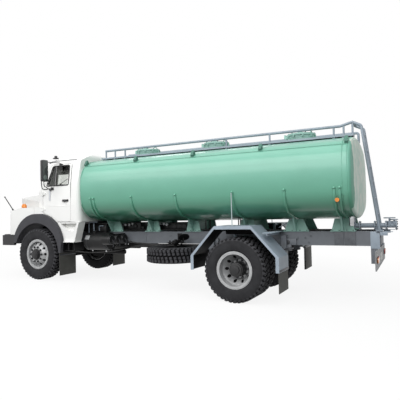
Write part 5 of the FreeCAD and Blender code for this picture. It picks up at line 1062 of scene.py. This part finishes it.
def add_valve_gear():
    """Valve boxes on the frame, with their round fittings."""
    boxes = assembled("valve_boxes", [
        ((2.62, -0.28, 0.035), (3.1, 0.3, 0.2)), ((2.56, -0.2, 0.03), (2.7, 0.27, 0.11)),
        ((1.42, -0.28, 0.035), (1.9, 0.29, 0.19)), ((1.86, -0.2, 0.03), (2.13, 0.27, 0.17)),
        ((1.0, -0.42, 0.004), (3.5, -0.3, 0.05)), ((-1.6, 0.2, 0.004), (-1.1, 0.26, 0.035))],
        [((x, 0.27, 0.1), (x, 0.315, 0.1), 0.075) for x in (1.5, 1.62, 1.74)]
        + [((2.76, 0.2, 0.12), (2.76, 0.33, 0.12), 0.055)], 0.006)
    fit(boxes, "chassis", "Equipment black")
    fittings = []
    for x, z in ((3.11, 0.15), (3.0, 0.15), (2.89, 0.15), (2.8, 0.17), (2.07, 0.165),
                 (1.97, 0.165), (1.895, 0.15)):
        fittings += [bar("fitting", (x, 0.24, z), (x, 0.35, z), 0.026, 20, 0.006),
                     bar("fitting", (x, 0.35, z), (x, 0.366, z), 0.03, 20, 0.005)]
    fit(joined("valve_fittings", fittings), "chassis", "Dull steel")

def add_hoses():
    """Upright rods, and hoses along the rail."""
    rods = [bar("rod", (x, y, 0.0), (x, y, 0.225), 0.011, 10)
            for x, y in ((1.42, 0.1), (1.345, 0.2), (1.06, 0.12), (1.015, 0.22), (0.965, 0.12),
                         (0.92, 0.2), (0.3, 0.15), (0.24, 0.2), (0.18, 0.1))]
    hoses = [tube("hose", softened([(3.5, y, z), (2.4, y, z - 0.01), (2.3, y, z + 0.02),
                                    (-0.4, y, z), (-1.9, y, z - 0.005)], 0.08, closed=False),
                  0.014) for y, z in ((0.385, 0.024), (0.34, 0.022))]
    hoses += [tube("hose", softened([(4.6, 0.5, -0.43), (3.9, 0.5, -0.47), (3.1, 0.5, -0.42),
                                     (2.6, 0.41, -0.3), (-0.5, 0.41, -0.3)], 0.2, closed=False),
                   0.022),
              tube("hose", softened([(2.9, 0.5, -0.19), (2.7, 0.46, -0.25), (2.2, 0.41, -0.275),
                                     (1.9, 0.41, -0.28)], 0.1, closed=False), 0.016)]
    fit(joined("hoses", rods + hoses), "chassis", "Equipment black")

def add_under_frame():
    """Pipes and tanks under the frame, a thin black sheet of painted shade by the left rail, and bright drain
    fittings.
    """
    under = assembled("under_frame", [
        # The second box, a thin black sheet by the left rail, is painted shade above the rear tyres.
        ((2.2, 0.3, -0.33), (3.1, 0.42, -0.262)), ((0.46, 0.398, -0.62), (0.98, 0.404, -0.262))], [
        ((4.5, 0.45, -0.44), (2.98, 0.4, -0.46), 0.05),
        ((3.05, 0.38, -0.315), (1.95, 0.38, -0.32), 0.034),
        ((2.0, 0.38, -0.30), (0.72, 0.38, -0.30), 0.036),
        ((4.2, -0.5, -0.35), (3.2, -0.5, -0.35), 0.11),
        ((3.2, -0.5, -0.35), (2.3, -0.52, -0.4), 0.04)]
        + [((x, y, -0.53), (x, y + 0.17, -0.53), 0.08) for x in (-0.33, 0.33)
           for y in (0.2, -0.37)], 0.01)
    fit(under, "chassis", "Axle black")
    silver = assembled("drain_fittings", [], [
        ((2.885, 0.5, -0.285), (2.885, 0.5, -0.25), 0.02),
        ((2.82, 0.5, -0.285), (2.82, 0.5, -0.26), 0.014),
        ((3.63, 0.745, -0.425), (3.63, 0.745, -0.385), 0.017),
        ((3.24, 0.745, -0.435), (3.24, 0.745, -0.385), 0.02)])
    fit(silver, "chassis", "Bright steel")

def add_drum_straps():
    """Straps and end rims of the drum tanks."""
    for side, which in SIDES:
        y = side * DRUM_Y
        straps = [hoop("strap", (x, y, DRUM_Z), (1, 0, 0), 0.1935, 0.005)
                  for x in (3.16, 3.185, 3.64, 3.665)]
        straps += [hoop("rim", (3.104, y, DRUM_Z), (1, 0, 0), 0.188, 0.0075),
                   hoop("rim", (3.102, y, DRUM_Z), (1, 0, 0), 0.05, 0.005, 24)]
        plates = assembled("strap", [((3.1, y - 0.012, -0.39), (3.108, y + 0.012, -0.01)),
                                     ((3.1, y - 0.19, -0.212), (3.108, y + 0.19, -0.188))])
        fit(joined("drum_straps_" + which, straps + [plates]),
            "chassis", "Dark steel")

def add_air_tank_ends():
    """Rims, caps and pipes at the ends of the air tanks."""
    rims = []
    for y in AIR_TANK_Y:
        rims += [hoop("end", (2.868, y, AIR_TANK_Z), (1, 0, 0), 0.094, 0.0055, 32),
                 hoop("end", (2.90, y, AIR_TANK_Z), (1, 0, 0), 0.1035, 0.004, 32),
                 bar("end", (2.85, y, AIR_TANK_Z), (2.87, y, AIR_TANK_Z), 0.02, 16, 0.004)]
        rims.append(tube("end", softened([(2.855, y, AIR_TANK_Z), (2.83, y, -0.2), (2.84, y, -0.3)],
                                         0.02, closed=False), 0.008))
    fit(joined("air_tank_ends", rims), "chassis", "Dark steel")

def add_drum_plate():
    """Blank plate on the left drum tank."""
    plate = slab("drum_plate", (3.57, -0.05, -0.0025), (3.69, 0.05, 0.0025), 0.001)
    plate = moved(plate, Matrix.Translation((0, DRUM_Y, DRUM_Z)) @ Matrix.Rotation(
        math.radians(-62), 4, 'X') @ Matrix.Translation((0, 0, 0.197)), "blank_plate_drum")
    fit(plate, "chassis", "Board grey")

def add_spare_hanger():
    """Hanger of the spare wheel, with its tilted disc."""
    hanger = assembled("spare_hanger", [
        ((1.44, 0.44, -0.23), (1.6, 0.8, -0.2)), ((1.47, 0.436, -0.2), (1.57, 0.46, -0.04)),
        ((1.3, 0.56, -0.24), (1.75, 0.62, -0.225))],
        [((1.5, 0.66, -0.28), (1.5, 0.66, -0.15), 0.028),
         ((1.4, 0.6, -0.25), (1.4, 0.6, -0.17), 0.016),
         ((1.62, 0.7, -0.25), (1.62, 0.7, -0.17), 0.016)])
    tilted = assembled("disc", [], [((0, 0, -0.006), (0, 0, 0.006), 0.115),
                                    ((0, 0, 0.0), (0, 0, 0.02), 0.04)])
    tilted = moved(tilted, Matrix.Translation((1.35, 0.58, -0.11)) @ Matrix.Rotation(
        math.radians(32), 4, 'X') @ Matrix.Rotation(math.radians(24), 4, 'Y'), "tilted_disc")
    stem = bar("stem", (1.37, 0.58, -0.24), (1.36, 0.58, -0.12), 0.014, 12)
    fit(joined("spare_hanger", [hanger, tilted, stem]), "chassis", "Axle black")

def add_rail_marks():
    """Strips and bolt heads on the left rail."""
    marks = [slab("mark", (2.38, RAIL_Y, -0.25), (2.386, 0.437, -0.005), 0.001),
             slab("mark", (1.74, RAIL_Y, -0.1), (1.79, 0.437, -0.07), 0.001),
             bolts("mark", [(x, RAIL_Y, z) for x in (3.0, 2.95, 2.42, 2.34, 0.62, 0.54)
                            for z in (-0.21, -0.05)], (0, 1, 0), 0.011, 0.012)]
    fit(joined("rail_marks", marks), "chassis", "Frame paint")

class TANKER_OT_equipment(bpy.types.Operator):
    """Pipework, valve boxes, tank straps and the spare wheel's hanger"""
    bl_idname = "tanker.equipment"
    bl_label = "Frame equipment"

    def execute(self, context):
        add_gear_behind_cab()
        add_cab_pipes()
        add_valve_gear()
        add_hoses()
        add_under_frame()
        add_drum_straps()
        add_air_tank_ends()
        add_drum_plate()
        add_spare_hanger()
        add_rail_marks()
        return {'FINISHED'}


# Rear trim

def add_guard_sheets():
    """Brackets of the rear guards, and black sheets inside them that paint the shade under the guards."""
    bracket = assembled("guard_bracket_left", [((-0.72, 0.44, 0.0), (-0.55, 1.2, 0.012)),
                                              ((-0.64, 0.44, -0.045), (-0.628, 1.2, 0.002))])
    both(bracket, "chassis", "Guard grey")
    # Painted shade: thin black sheets line the inside of each guard.
    run = ((0.836, -0.665), (0.836, -0.412), (0.348, 0.119), (-0.348, 0.119),
           (-0.836, -0.412), (-0.836, -0.665))
    sheets = [slab("sheet", (-0.37, 0.654, -0.04), (0.37, 0.659, 0.118), 0.001)]
    for (x0, z0), (x1, z1) in zip(run, run[1:]):
        length = math.hypot(x1 - x0, z1 - z0)
        flat = slab("flat", (0, 0.66, -0.003), (length, 1.18, 0.003), 0.001)
        sheets.append(moved(flat, Matrix.Translation((x0, 0, z0)) @ Matrix.Rotation(
            -math.atan2(z1 - z0, x1 - x0), 4, 'Y'), "sheet"))
    both(joined("guard_liner_left", sheets), "chassis", "Axle black")

def add_spring_gear():
    """Spring hangers, shackles, fish plates and the frame's ends."""
    for side, which in SIDES:
        hanger = assembled("spring_hanger_" + which, sided(
            side, ((-0.96, 0.431, -0.25), (-0.6, 0.475, -0.13)),
            ((-0.86, 0.431, -0.36), (-0.7, 0.475, -0.24)),
            ((0.62, 0.431, -0.36), (0.9, 0.475, -0.14))), sided_bars(
            side, ((-0.97, 0.43, -0.12), (-0.97, 0.46, -0.12), 0.02),
            ((-0.75, 0.44, -0.33), (-0.75, 0.56, -0.33), 0.024),
            ((0.745, 0.44, -0.33), (0.745, 0.56, -0.33), 0.024)), 0.006)
        fit(hanger, "chassis", "Frame paint")
        dark = assembled("shackle_" + which, [], sided_bars(
            side, ((-0.93, 0.545, -0.3), (-0.72, 0.545, -0.335), 0.018),
            ((-0.80, 0.43, -0.2), (-0.80, 0.478, -0.2), 0.045)))
        fit(dark, "chassis", "Dark steel")
        plates = assembled("fish_plates_" + which, sided(
            side, ((-2.0, 0.43, -0.252), (-1.82, 0.442, -0.006)),
            ((-1.80, 0.43, -0.252), (-1.64, 0.442, -0.006))))
        heads = bolts("fish", [(x, side * 0.438, z) for x, z in (
            (-1.95, -0.07), (-1.87, -0.13), (-1.95, -0.2), (-1.72, -0.07), (-1.72, -0.2),
            (-1.22, -0.08), (-1.12, -0.12), (-1.18, -0.2))], (0, side, 0), 0.013, 0.013)
        fit(joined(plates.name, [plates, heads]), "chassis", "Plate steel")
        end = assembled("frame_end_" + which, sided(
            side, ((-2.392, 0.43, -0.3), (-2.24, 0.437, -0.004)),
            ((-2.6, 0.4, -0.012), (-2.38, 0.47, -0.002)),
            ((-2.52, 0.462, -0.07), (-2.4, 0.47, -0.004))))
        fit(end, "chassis", "Guard grey")

def add_drain_can():
    """Bright can by the sump, and a grey sheet beside the tank's foot."""
    can = assembled("drain_can", [], [((-1.965, 0.6, 0.1), (-1.965, 0.6, 0.262), 0.043),
                                      ((-1.965, 0.6, 0.235), (-1.965, 0.6, 0.25), 0.05)])
    fit(can, "chassis", "Bright steel")
    sheet = slab("under_sheet", (-0.14, 0.28, -0.004), (0.14, 0.4, 0.004), 0.001)
    sheet = moved(sheet, Matrix.Translation((-0.74, 0, 0.14)) @ Matrix.Rotation(
        math.radians(28), 4, 'Y'), "hung_sheet")
    fit(sheet, "chassis", "Guard grey")

def add_flap_trim():
    """Cover of the right rear flap, and the clamps of the flaps."""
    flap = slab("flap_right_cover", (-0.864, -1.238, -0.85), (-0.852, -0.66, -0.33), 0.002)
    fit(flap, "chassis", "Flap rubber")
    clamps = [slab("clamp", (x, y0, z), (x + 0.006, y1, z + height), 0.001)
              for x, y0, y1, z, height in (
                  (-0.868, -1.24, -0.655, -0.4, 0.04), (-0.8575, 0.66, 1.235, -0.665, 0.035),
                  (4.184, 0.7, 1.19, -0.5, 0.035), (4.184, -1.19, -0.7, -0.5, 0.035))]
    fit(joined("flap_clamps", clamps), "chassis", "Dark steel")

def add_board_trim():
    """Lamp rings, reflectors and the blank plate of the lamp board."""
    rings = []
    for side in (1, -1):
        for y, radius in ((0.745, 0.053), (0.905, 0.051)):
            rings.append(hoop("ring", (-2.379, side * y, -0.45), (1, 0, 0), radius, 0.005, 32))
    fit(joined("lamp_rings", rings), "chassis", "Trim black")
    pale = [slab("reflector", (-2.378, side * 0.83 - 0.02, -0.4),
                 (-2.372, side * 0.83 + 0.02, -0.36), 0.002) for side in (1, -1)]
    pale.append(slab("reflector", (-2.379, -0.26, -0.54), (-2.372, 0.26, -0.4), 0.004))
    fit(joined("blank_plates_rear", pale), "chassis", "Plate white")

def add_outlet_bolts():
    """Bolts of the outlet's flanges, and the rear cross beam."""
    heads = []
    for x in (-2.05, -2.3, -2.48, -2.64):
        heads.append(bolts("flange", circle_of((x + 0.008, 0.27, 0.095), 0.066, 8, 0.39),
                           (-1, 0, 0), 0.0085, 0.042))
    fit(joined("flange_bolts", heads), "chassis", "Dark steel")
    beam = assembled("rear_beam", [((-2.4, -0.35, -0.24), (-2.375, 0.35, -0.06))])
    fit(beam, "chassis", "Frame paint")

class TANKER_OT_rear(bpy.types.Operator):
    """Guard brackets, spring hangers, fish plates, lamp rings and pipe bolts"""
    bl_idname = "tanker.rear_trim"
    bl_label = "Rear trim"

    def execute(self, context):
        add_guard_sheets()
        add_spring_gear()
        add_drain_can()
        add_flap_trim()
        add_board_trim()
        add_outlet_bolts()
        return {'FINISHED'}


# Front trim

def add_nose_trim():
    """Headlamp rings, turn lamps and grille bars."""
    rings = [hoop("ring", (5.985, y, 0.27), (1, 0, 0), 0.109, 0.011) for y in (LAMP_Y, -LAMP_Y)]
    fit(joined("headlamp_rings", rings), "chassis", "Bright steel")
    turn_lamps = [slab("lamp", (5.94, y - 0.06, 0.075), (5.995, y + 0.06, 0.125), 0.008)
                  for y in (LAMP_Y, -LAMP_Y)]
    fit(joined("front_turn_lamps", turn_lamps), "chassis", "Amber lens")
    bars = assembled("grille_bars", [((6.0, y - 0.008, 0.09), (6.018, y + 0.008, 0.4))
                                     for y in (-0.3, -0.15, 0.15, 0.3)])
    fit(bars, "chassis", "Trim black")

def add_bumper_trim():
    """Plate, fog lamps, bolts, end pads and valance of the bumper."""
    plate = slab("blank_plate_front", (6.2485, -0.26, -0.235), (6.2515, 0.26, -0.115), 0.0008)
    fit(plate, "chassis", "Plate white")
    fog = [bar("fog", (6.16, y, -0.17), (6.2, y, -0.17), 0.06, 32, 0.006) for y in (0.78, -0.78)]
    fit(joined("fog_lamps", fog), "chassis", "Lamp glass")
    heads = bolts("bumper_bolts", [(6.246, y, z) for y in (0.38, -0.38) for z in (-0.09, -0.25)],
                  (1, 0, 0), 0.014, 0.0045)
    fit(heads, "chassis", "Dark steel")
    bumps = assembled("bumper_ends", [((5.96, 1.0, -0.05), (6.08, 1.12, -0.028)),
                                      ((5.78, 1.05, -0.05), (5.9, 1.13, -0.036)),
                                      ((5.96, -1.12, -0.05), (6.08, -1.0, -0.028)),
                                      ((5.78, -1.13, -0.05), (5.9, -1.05, -0.036))], [], 0.01)
    fit(bumps, "chassis", "Bumper black")
    valance = slab("bumper_valance", (5.88, -0.98, -0.085), (6.16, 0.98, -0.077), 0.002)
    fit(valance, "chassis", "Bumper black")

def add_wing_lamp_feet():
    """Feet of the wing lamps and marker rods."""
    feet = []
    for side in (1, -1):
        feet += [hoop("foot", (5.52, side * 1.0, 0.597), (0, 0, 1), 0.052, 0.009, 32),
                 bar("foot", (5.868, side * 1.0, 0.515), (5.9, side * 1.028, 0.59), 0.02, 16,
                     0.006),
                 slab("foot", (5.8, side * 1.0 - 0.014, 0.53), (5.88, side * 1.0 + 0.014, 0.55),
                      0.004)]
    fit(joined("wing_lamp_feet", feet), "chassis", "Trim black")

class TANKER_OT_front(bpy.types.Operator):
    """Lamp rings, turn lamps, grille bars, plate, fog lamps, bumper bolts, ends and valance, and wing lamps' feet
    """
    bl_idname = "tanker.front_trim"
    bl_label = "Front trim"

    def execute(self, context):
        add_nose_trim()
        add_bumper_trim()
        add_wing_lamp_feet()
        return {'FINISHED'}


# Cab inside

def pad(name, low, high, swell):
    """Crowned cushion between two corners."""
    obj = slab(name, low, high)
    bpy.ops.object.mode_set(mode='EDIT')
    bpy.ops.mesh.select_all(action='SELECT')
    bpy.ops.mesh.subdivide(number_cuts=9)
    bpy.ops.object.mode_set(mode='OBJECT')
    middle = (Vector(low) + Vector(high)) / 2
    bpy.context.scene.cursor.location = middle
    bpy.ops.object.origin_set(type='ORIGIN_CURSOR')
    bpy.context.scene.cursor.location = (0, 0, 0)
    cast = obj.modifiers.new("Swell", 'CAST')
    cast.factor = swell
    bpy.ops.object.modifier_apply(modifier=cast.name)
    smooth = obj.modifiers.new("Soften", 'SMOOTH')
    smooth.factor = 0.5
    smooth.iterations = 3
    bpy.ops.object.modifier_apply(modifier=smooth.name)
    return settle(obj)


def add_cushions():
    """Padded cushions and backrests, with their piping."""
    for name, y0, y1 in CUSHIONS:
        seat = pad("cushion_" + name, (3.955, y0 - 0.008, 0.6), (4.438, y1 + 0.008, 0.712), 0.07)
        back = pad("backrest_" + name, (3.87, y0 - 0.008, 0.72), (4.004, y1 + 0.008, 1.252), 0.05)
        for piece in (seat, back):
            fit(piece, "chassis", "Cushion cloth")
    piping = [tube("piping", [(x, y0 + 0.02, 0.722), (x, y1 - 0.02, 0.722)], 0.004)
              for name, y0, y1 in CUSHIONS for x in (4.12, 4.27)]
    fit(joined("cushion_piping", piping), "chassis", "Trim black")

def add_linings():
    """Linings of cab and doors."""
    lining = assembled("cab_lining", [
        ((3.745, -0.9, 1.6), (4.6, 0.9, 1.612)), ((3.736, -1.0, 0.3), (3.748, 1.0, 1.08)),
        ((3.75, -1.03, 0.284), (4.95, 1.03, 0.294)), ((4.55, 0.15, 1.5), (4.63, 0.8, 1.6)),
        ((4.55, -0.8, 1.5), (4.63, -0.15, 1.6))])
    fit(lining, "chassis", "Lining grey")
    trim = assembled("door_lining_left", [((3.95, 1.058, 0.66), (4.7, 1.076, 1.06)),
                                          ((3.95, 1.058, 0.34), (4.1, 1.076, 0.66))])
    pull = slab("door_pull", (4.1, 1.02, 0.80), (4.45, 1.06, 0.83), 0.008)
    both(joined("door_lining_left", [trim, pull]), "door_left", "Lining grey",
         "door_right")

def add_controls():
    """Instrument box, pedals and levers."""
    controls = assembled("controls", [((4.7, 0.4, 0.9), (4.79, 0.76, 0.99))]
                         + [((4.85, y, 0.36), (4.88, y + 0.06, 0.45)) for y in (0.42, 0.54, 0.66)],
                         [((4.5, 0.2, 0.29), (4.44, 0.2, 0.75), 0.011),
                          ((4.44, 0.2, 0.74), (4.438, 0.2, 0.79), 0.026),
                          ((4.3, 0.22, 0.29), (4.24, 0.22, 0.62), 0.013)], 0.008)
    fit(controls, "chassis", "Trim black")

def add_dials():
    """Rings and plain faces of the dials."""
    dials = [hoop("dial", (4.699, y, DIAL_Z), (1, 0, 0), 0.036, 0.004, 24) for y in DIAL_Y]
    fit(joined("dial_rings", dials), "chassis", "Bright steel")
    faces = [bar("face", (4.697, y, DIAL_Z), (4.703, y, DIAL_Z), 0.034, 24) for y in DIAL_Y]
    fit(joined("dial_faces", faces), "chassis", "Plate white")

class TANKER_OT_inside(bpy.types.Operator):
    """Cushions, linings, gear lever, pedals and dials of the cab"""
    bl_idname = "tanker.cab_inside"
    bl_label = "Cab inside"

    def execute(self, context):
        add_cushions()
        add_linings()
        add_controls()
        add_dials()
        return {'FINISHED'}


# Studio

# The camera's place, its turn aside, up and about its own axis in radians, and its lens in mm
CAMERA_PLACE = (REAR_X - 2.9085, 8.3633, 1.7395)
CAMERA_TURN = (0.46598, 0.014555, 0.009944)
CAMERA_LENS = 38.525

def seen_rays(owner):
    """1 on camera, glossy and transmission rays, and 0 on the rays that light the object."""
    path = owner.node_tree.nodes.new('ShaderNodeLightPath')
    seen = reckoned(owner, 'MAXIMUM', path.outputs['Is Camera Ray'],
                    path.outputs['Is Transmission Ray'])
    return reckoned(owner, 'MAXIMUM', seen, path.outputs['Is Glossy Ray'])

def white_seen(material, plain_colour, keep):
    """Diffuse floor that the camera and reflections see as white, keeping its shadow near by."""
    nodes, links = material.node_tree.nodes, material.node_tree.links
    nodes.clear()
    output = nodes.new('ShaderNodeOutputMaterial')
    plain = nodes.new('ShaderNodeBsdfDiffuse')
    plain.inputs['Color'].default_value = (*plain_colour, 1)
    pale = nodes.new('ShaderNodeBsdfDiffuse')
    pale.inputs['Color'].default_value = (0.9, 0.9, 0.9, 1)
    glow = nodes.new('ShaderNodeEmission')
    glow.inputs['Color'].default_value = (1, 1, 1, 1)
    shadowed = nodes.new('ShaderNodeMixShader')
    coords = nodes.new('ShaderNodeTexCoord')
    away = nodes.new('ShaderNodeVectorMath')
    away.operation = 'LENGTH'
    links.new(coords.outputs['Object'], away.inputs[0])
    links.new(range_of(material, away.outputs['Value'], 4.5, 8.5, keep, 1.0),
              shadowed.inputs['Fac'])
    links.new(pale.outputs['BSDF'], shadowed.inputs[1])
    links.new(glow.outputs['Emission'], shadowed.inputs[2])
    mix = nodes.new('ShaderNodeMixShader')
    links.new(seen_rays(material), mix.inputs['Fac'])
    links.new(plain.outputs['BSDF'], mix.inputs[1])
    links.new(shadowed.outputs['Shader'], mix.inputs[2])
    links.new(mix.outputs['Shader'], output.inputs['Surface'])


def sky(strength):
    """White where it is seen, soft grey light elsewhere."""
    world = bpy.data.worlds.new("Studio")
    bpy.context.scene.world = world
    world.use_nodes = True
    nodes, links = world.node_tree.nodes, world.node_tree.links
    nodes.clear()
    output = nodes.new('ShaderNodeOutputWorld')
    seen = nodes.new('ShaderNodeBackground')
    light = nodes.new('ShaderNodeBackground')
    light.inputs['Strength'].default_value = strength
    light.inputs['Color'].default_value = (0.97, 0.99, 1, 1)
    seen.inputs['Color'].default_value = (1, 1, 1, 1)
    mix = nodes.new('ShaderNodeMixShader')
    links.new(seen_rays(world), mix.inputs['Fac'])
    links.new(light.outputs['Background'], mix.inputs[1])
    links.new(seen.outputs['Background'], mix.inputs[2])
    links.new(mix.outputs['Shader'], output.inputs['Surface'])


def lamp(name, place, target, size, power):
    deselect()
    bpy.ops.object.light_add(type='AREA', location=place)
    light = named(name)
    light.rotation_euler = (Vector(target) - Vector(place)).to_track_quat('-Z', 'Y').to_euler()
    light.data.shape = 'RECTANGLE'
    light.data.size, light.data.size_y = size
    light.data.energy = power
    return light


class TANKER_OT_studio(bpy.types.Operator):
    """Floor, soft lamps, white surroundings and the camera"""
    bl_idname = "tanker.studio"
    bl_label = "Studio"

    def execute(self, context):
        deselect()
        bpy.ops.mesh.primitive_plane_add(size=120, location=(0, 0, 0))
        floor = named("floor")
        surface = bpy.data.materials.new("Floor")
        surface.use_nodes = True
        white_seen(surface, (0.19, 0.19, 0.19), 0.88)
        floor.data.materials.append(surface)
        above = lamp("lamp_above", (0.5, 2.0, 9.5), (0, 0, 1), (12, 4), 190)
        side = lamp("lamp_side", (0.3, 9.5, 8.0), (0.3, 0, 1.4), (21, 7), 1640)
        far = lamp("lamp_far", (5, -10, 6.0), (0, 0, 1.2), (7, 4), 220)
        sky(0.4)
        yaw, pitch, roll = CAMERA_TURN
        ahead = Vector((math.sin(yaw) * math.cos(pitch), -math.cos(yaw) * math.cos(pitch),
                        math.sin(pitch)))
        level = ahead.cross(Vector((0, 0, 1))).normalized()
        up = level.cross(ahead)
        right = level * math.cos(roll) + up * math.sin(roll)
        rise = up * math.cos(roll) - level * math.sin(roll)
        deselect()
        bpy.ops.object.camera_add(location=CAMERA_PLACE)
        camera = named("camera")
        camera.rotation_euler = Matrix((right, rise, -ahead)).transposed().to_euler()
        camera.data.sensor_width = 36
        camera.data.lens = CAMERA_LENS
        camera.data.clip_end = 300
        context.scene.camera = camera
        context.scene.view_settings.view_transform = 'Standard'
        return {'FINISHED'}


class TANKER_PT_panel(bpy.types.Panel):
    """Colours, sizes and building steps of the tanker"""
    bl_label = "Tanker Truck"
    bl_idname = "TANKER_PT_panel"
    bl_space_type = 'VIEW_3D'
    bl_region_type = 'UI'
    bl_category = "Tanker"

    def draw(self, context):
        column = self.layout.column()
        for group in (context.scene.tanker_colours, context.scene.tanker_tread):
            for name in group.__annotations__:
                column.prop(group, name)
        for step in STEPS:
            column.operator(step.bl_idname)


STEPS = (TANKER_OT_finishes, TANKER_OT_tyres, TANKER_OT_wheels, TANKER_OT_windows,
         TANKER_OT_tank, TANKER_OT_equipment, TANKER_OT_rear, TANKER_OT_front,
         TANKER_OT_inside, TANKER_OT_studio)
CLASSES = (TankerColours, TreadSizes) + STEPS + (TANKER_PT_panel,)


def register():
    for item in CLASSES:
        bpy.utils.register_class(item)
    bpy.types.Scene.tanker_colours = PointerProperty(type=TankerColours)
    bpy.types.Scene.tanker_tread = PointerProperty(type=TreadSizes)


def unregister():
    del bpy.types.Scene.tanker_tread
    del bpy.types.Scene.tanker_colours
    for item in reversed(CLASSES):
        bpy.utils.unregister_class(item)


def corners(bounds):
    return [[round(float(value), 6) for value in corner] for corner in bounds]


def main():
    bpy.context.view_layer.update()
    register()
    for step in STEPS:
        group, name = step.bl_idname.split(".")
        getattr(getattr(bpy.ops, group), name)()
    deselect()


if __name__ == "__main__":
    main()
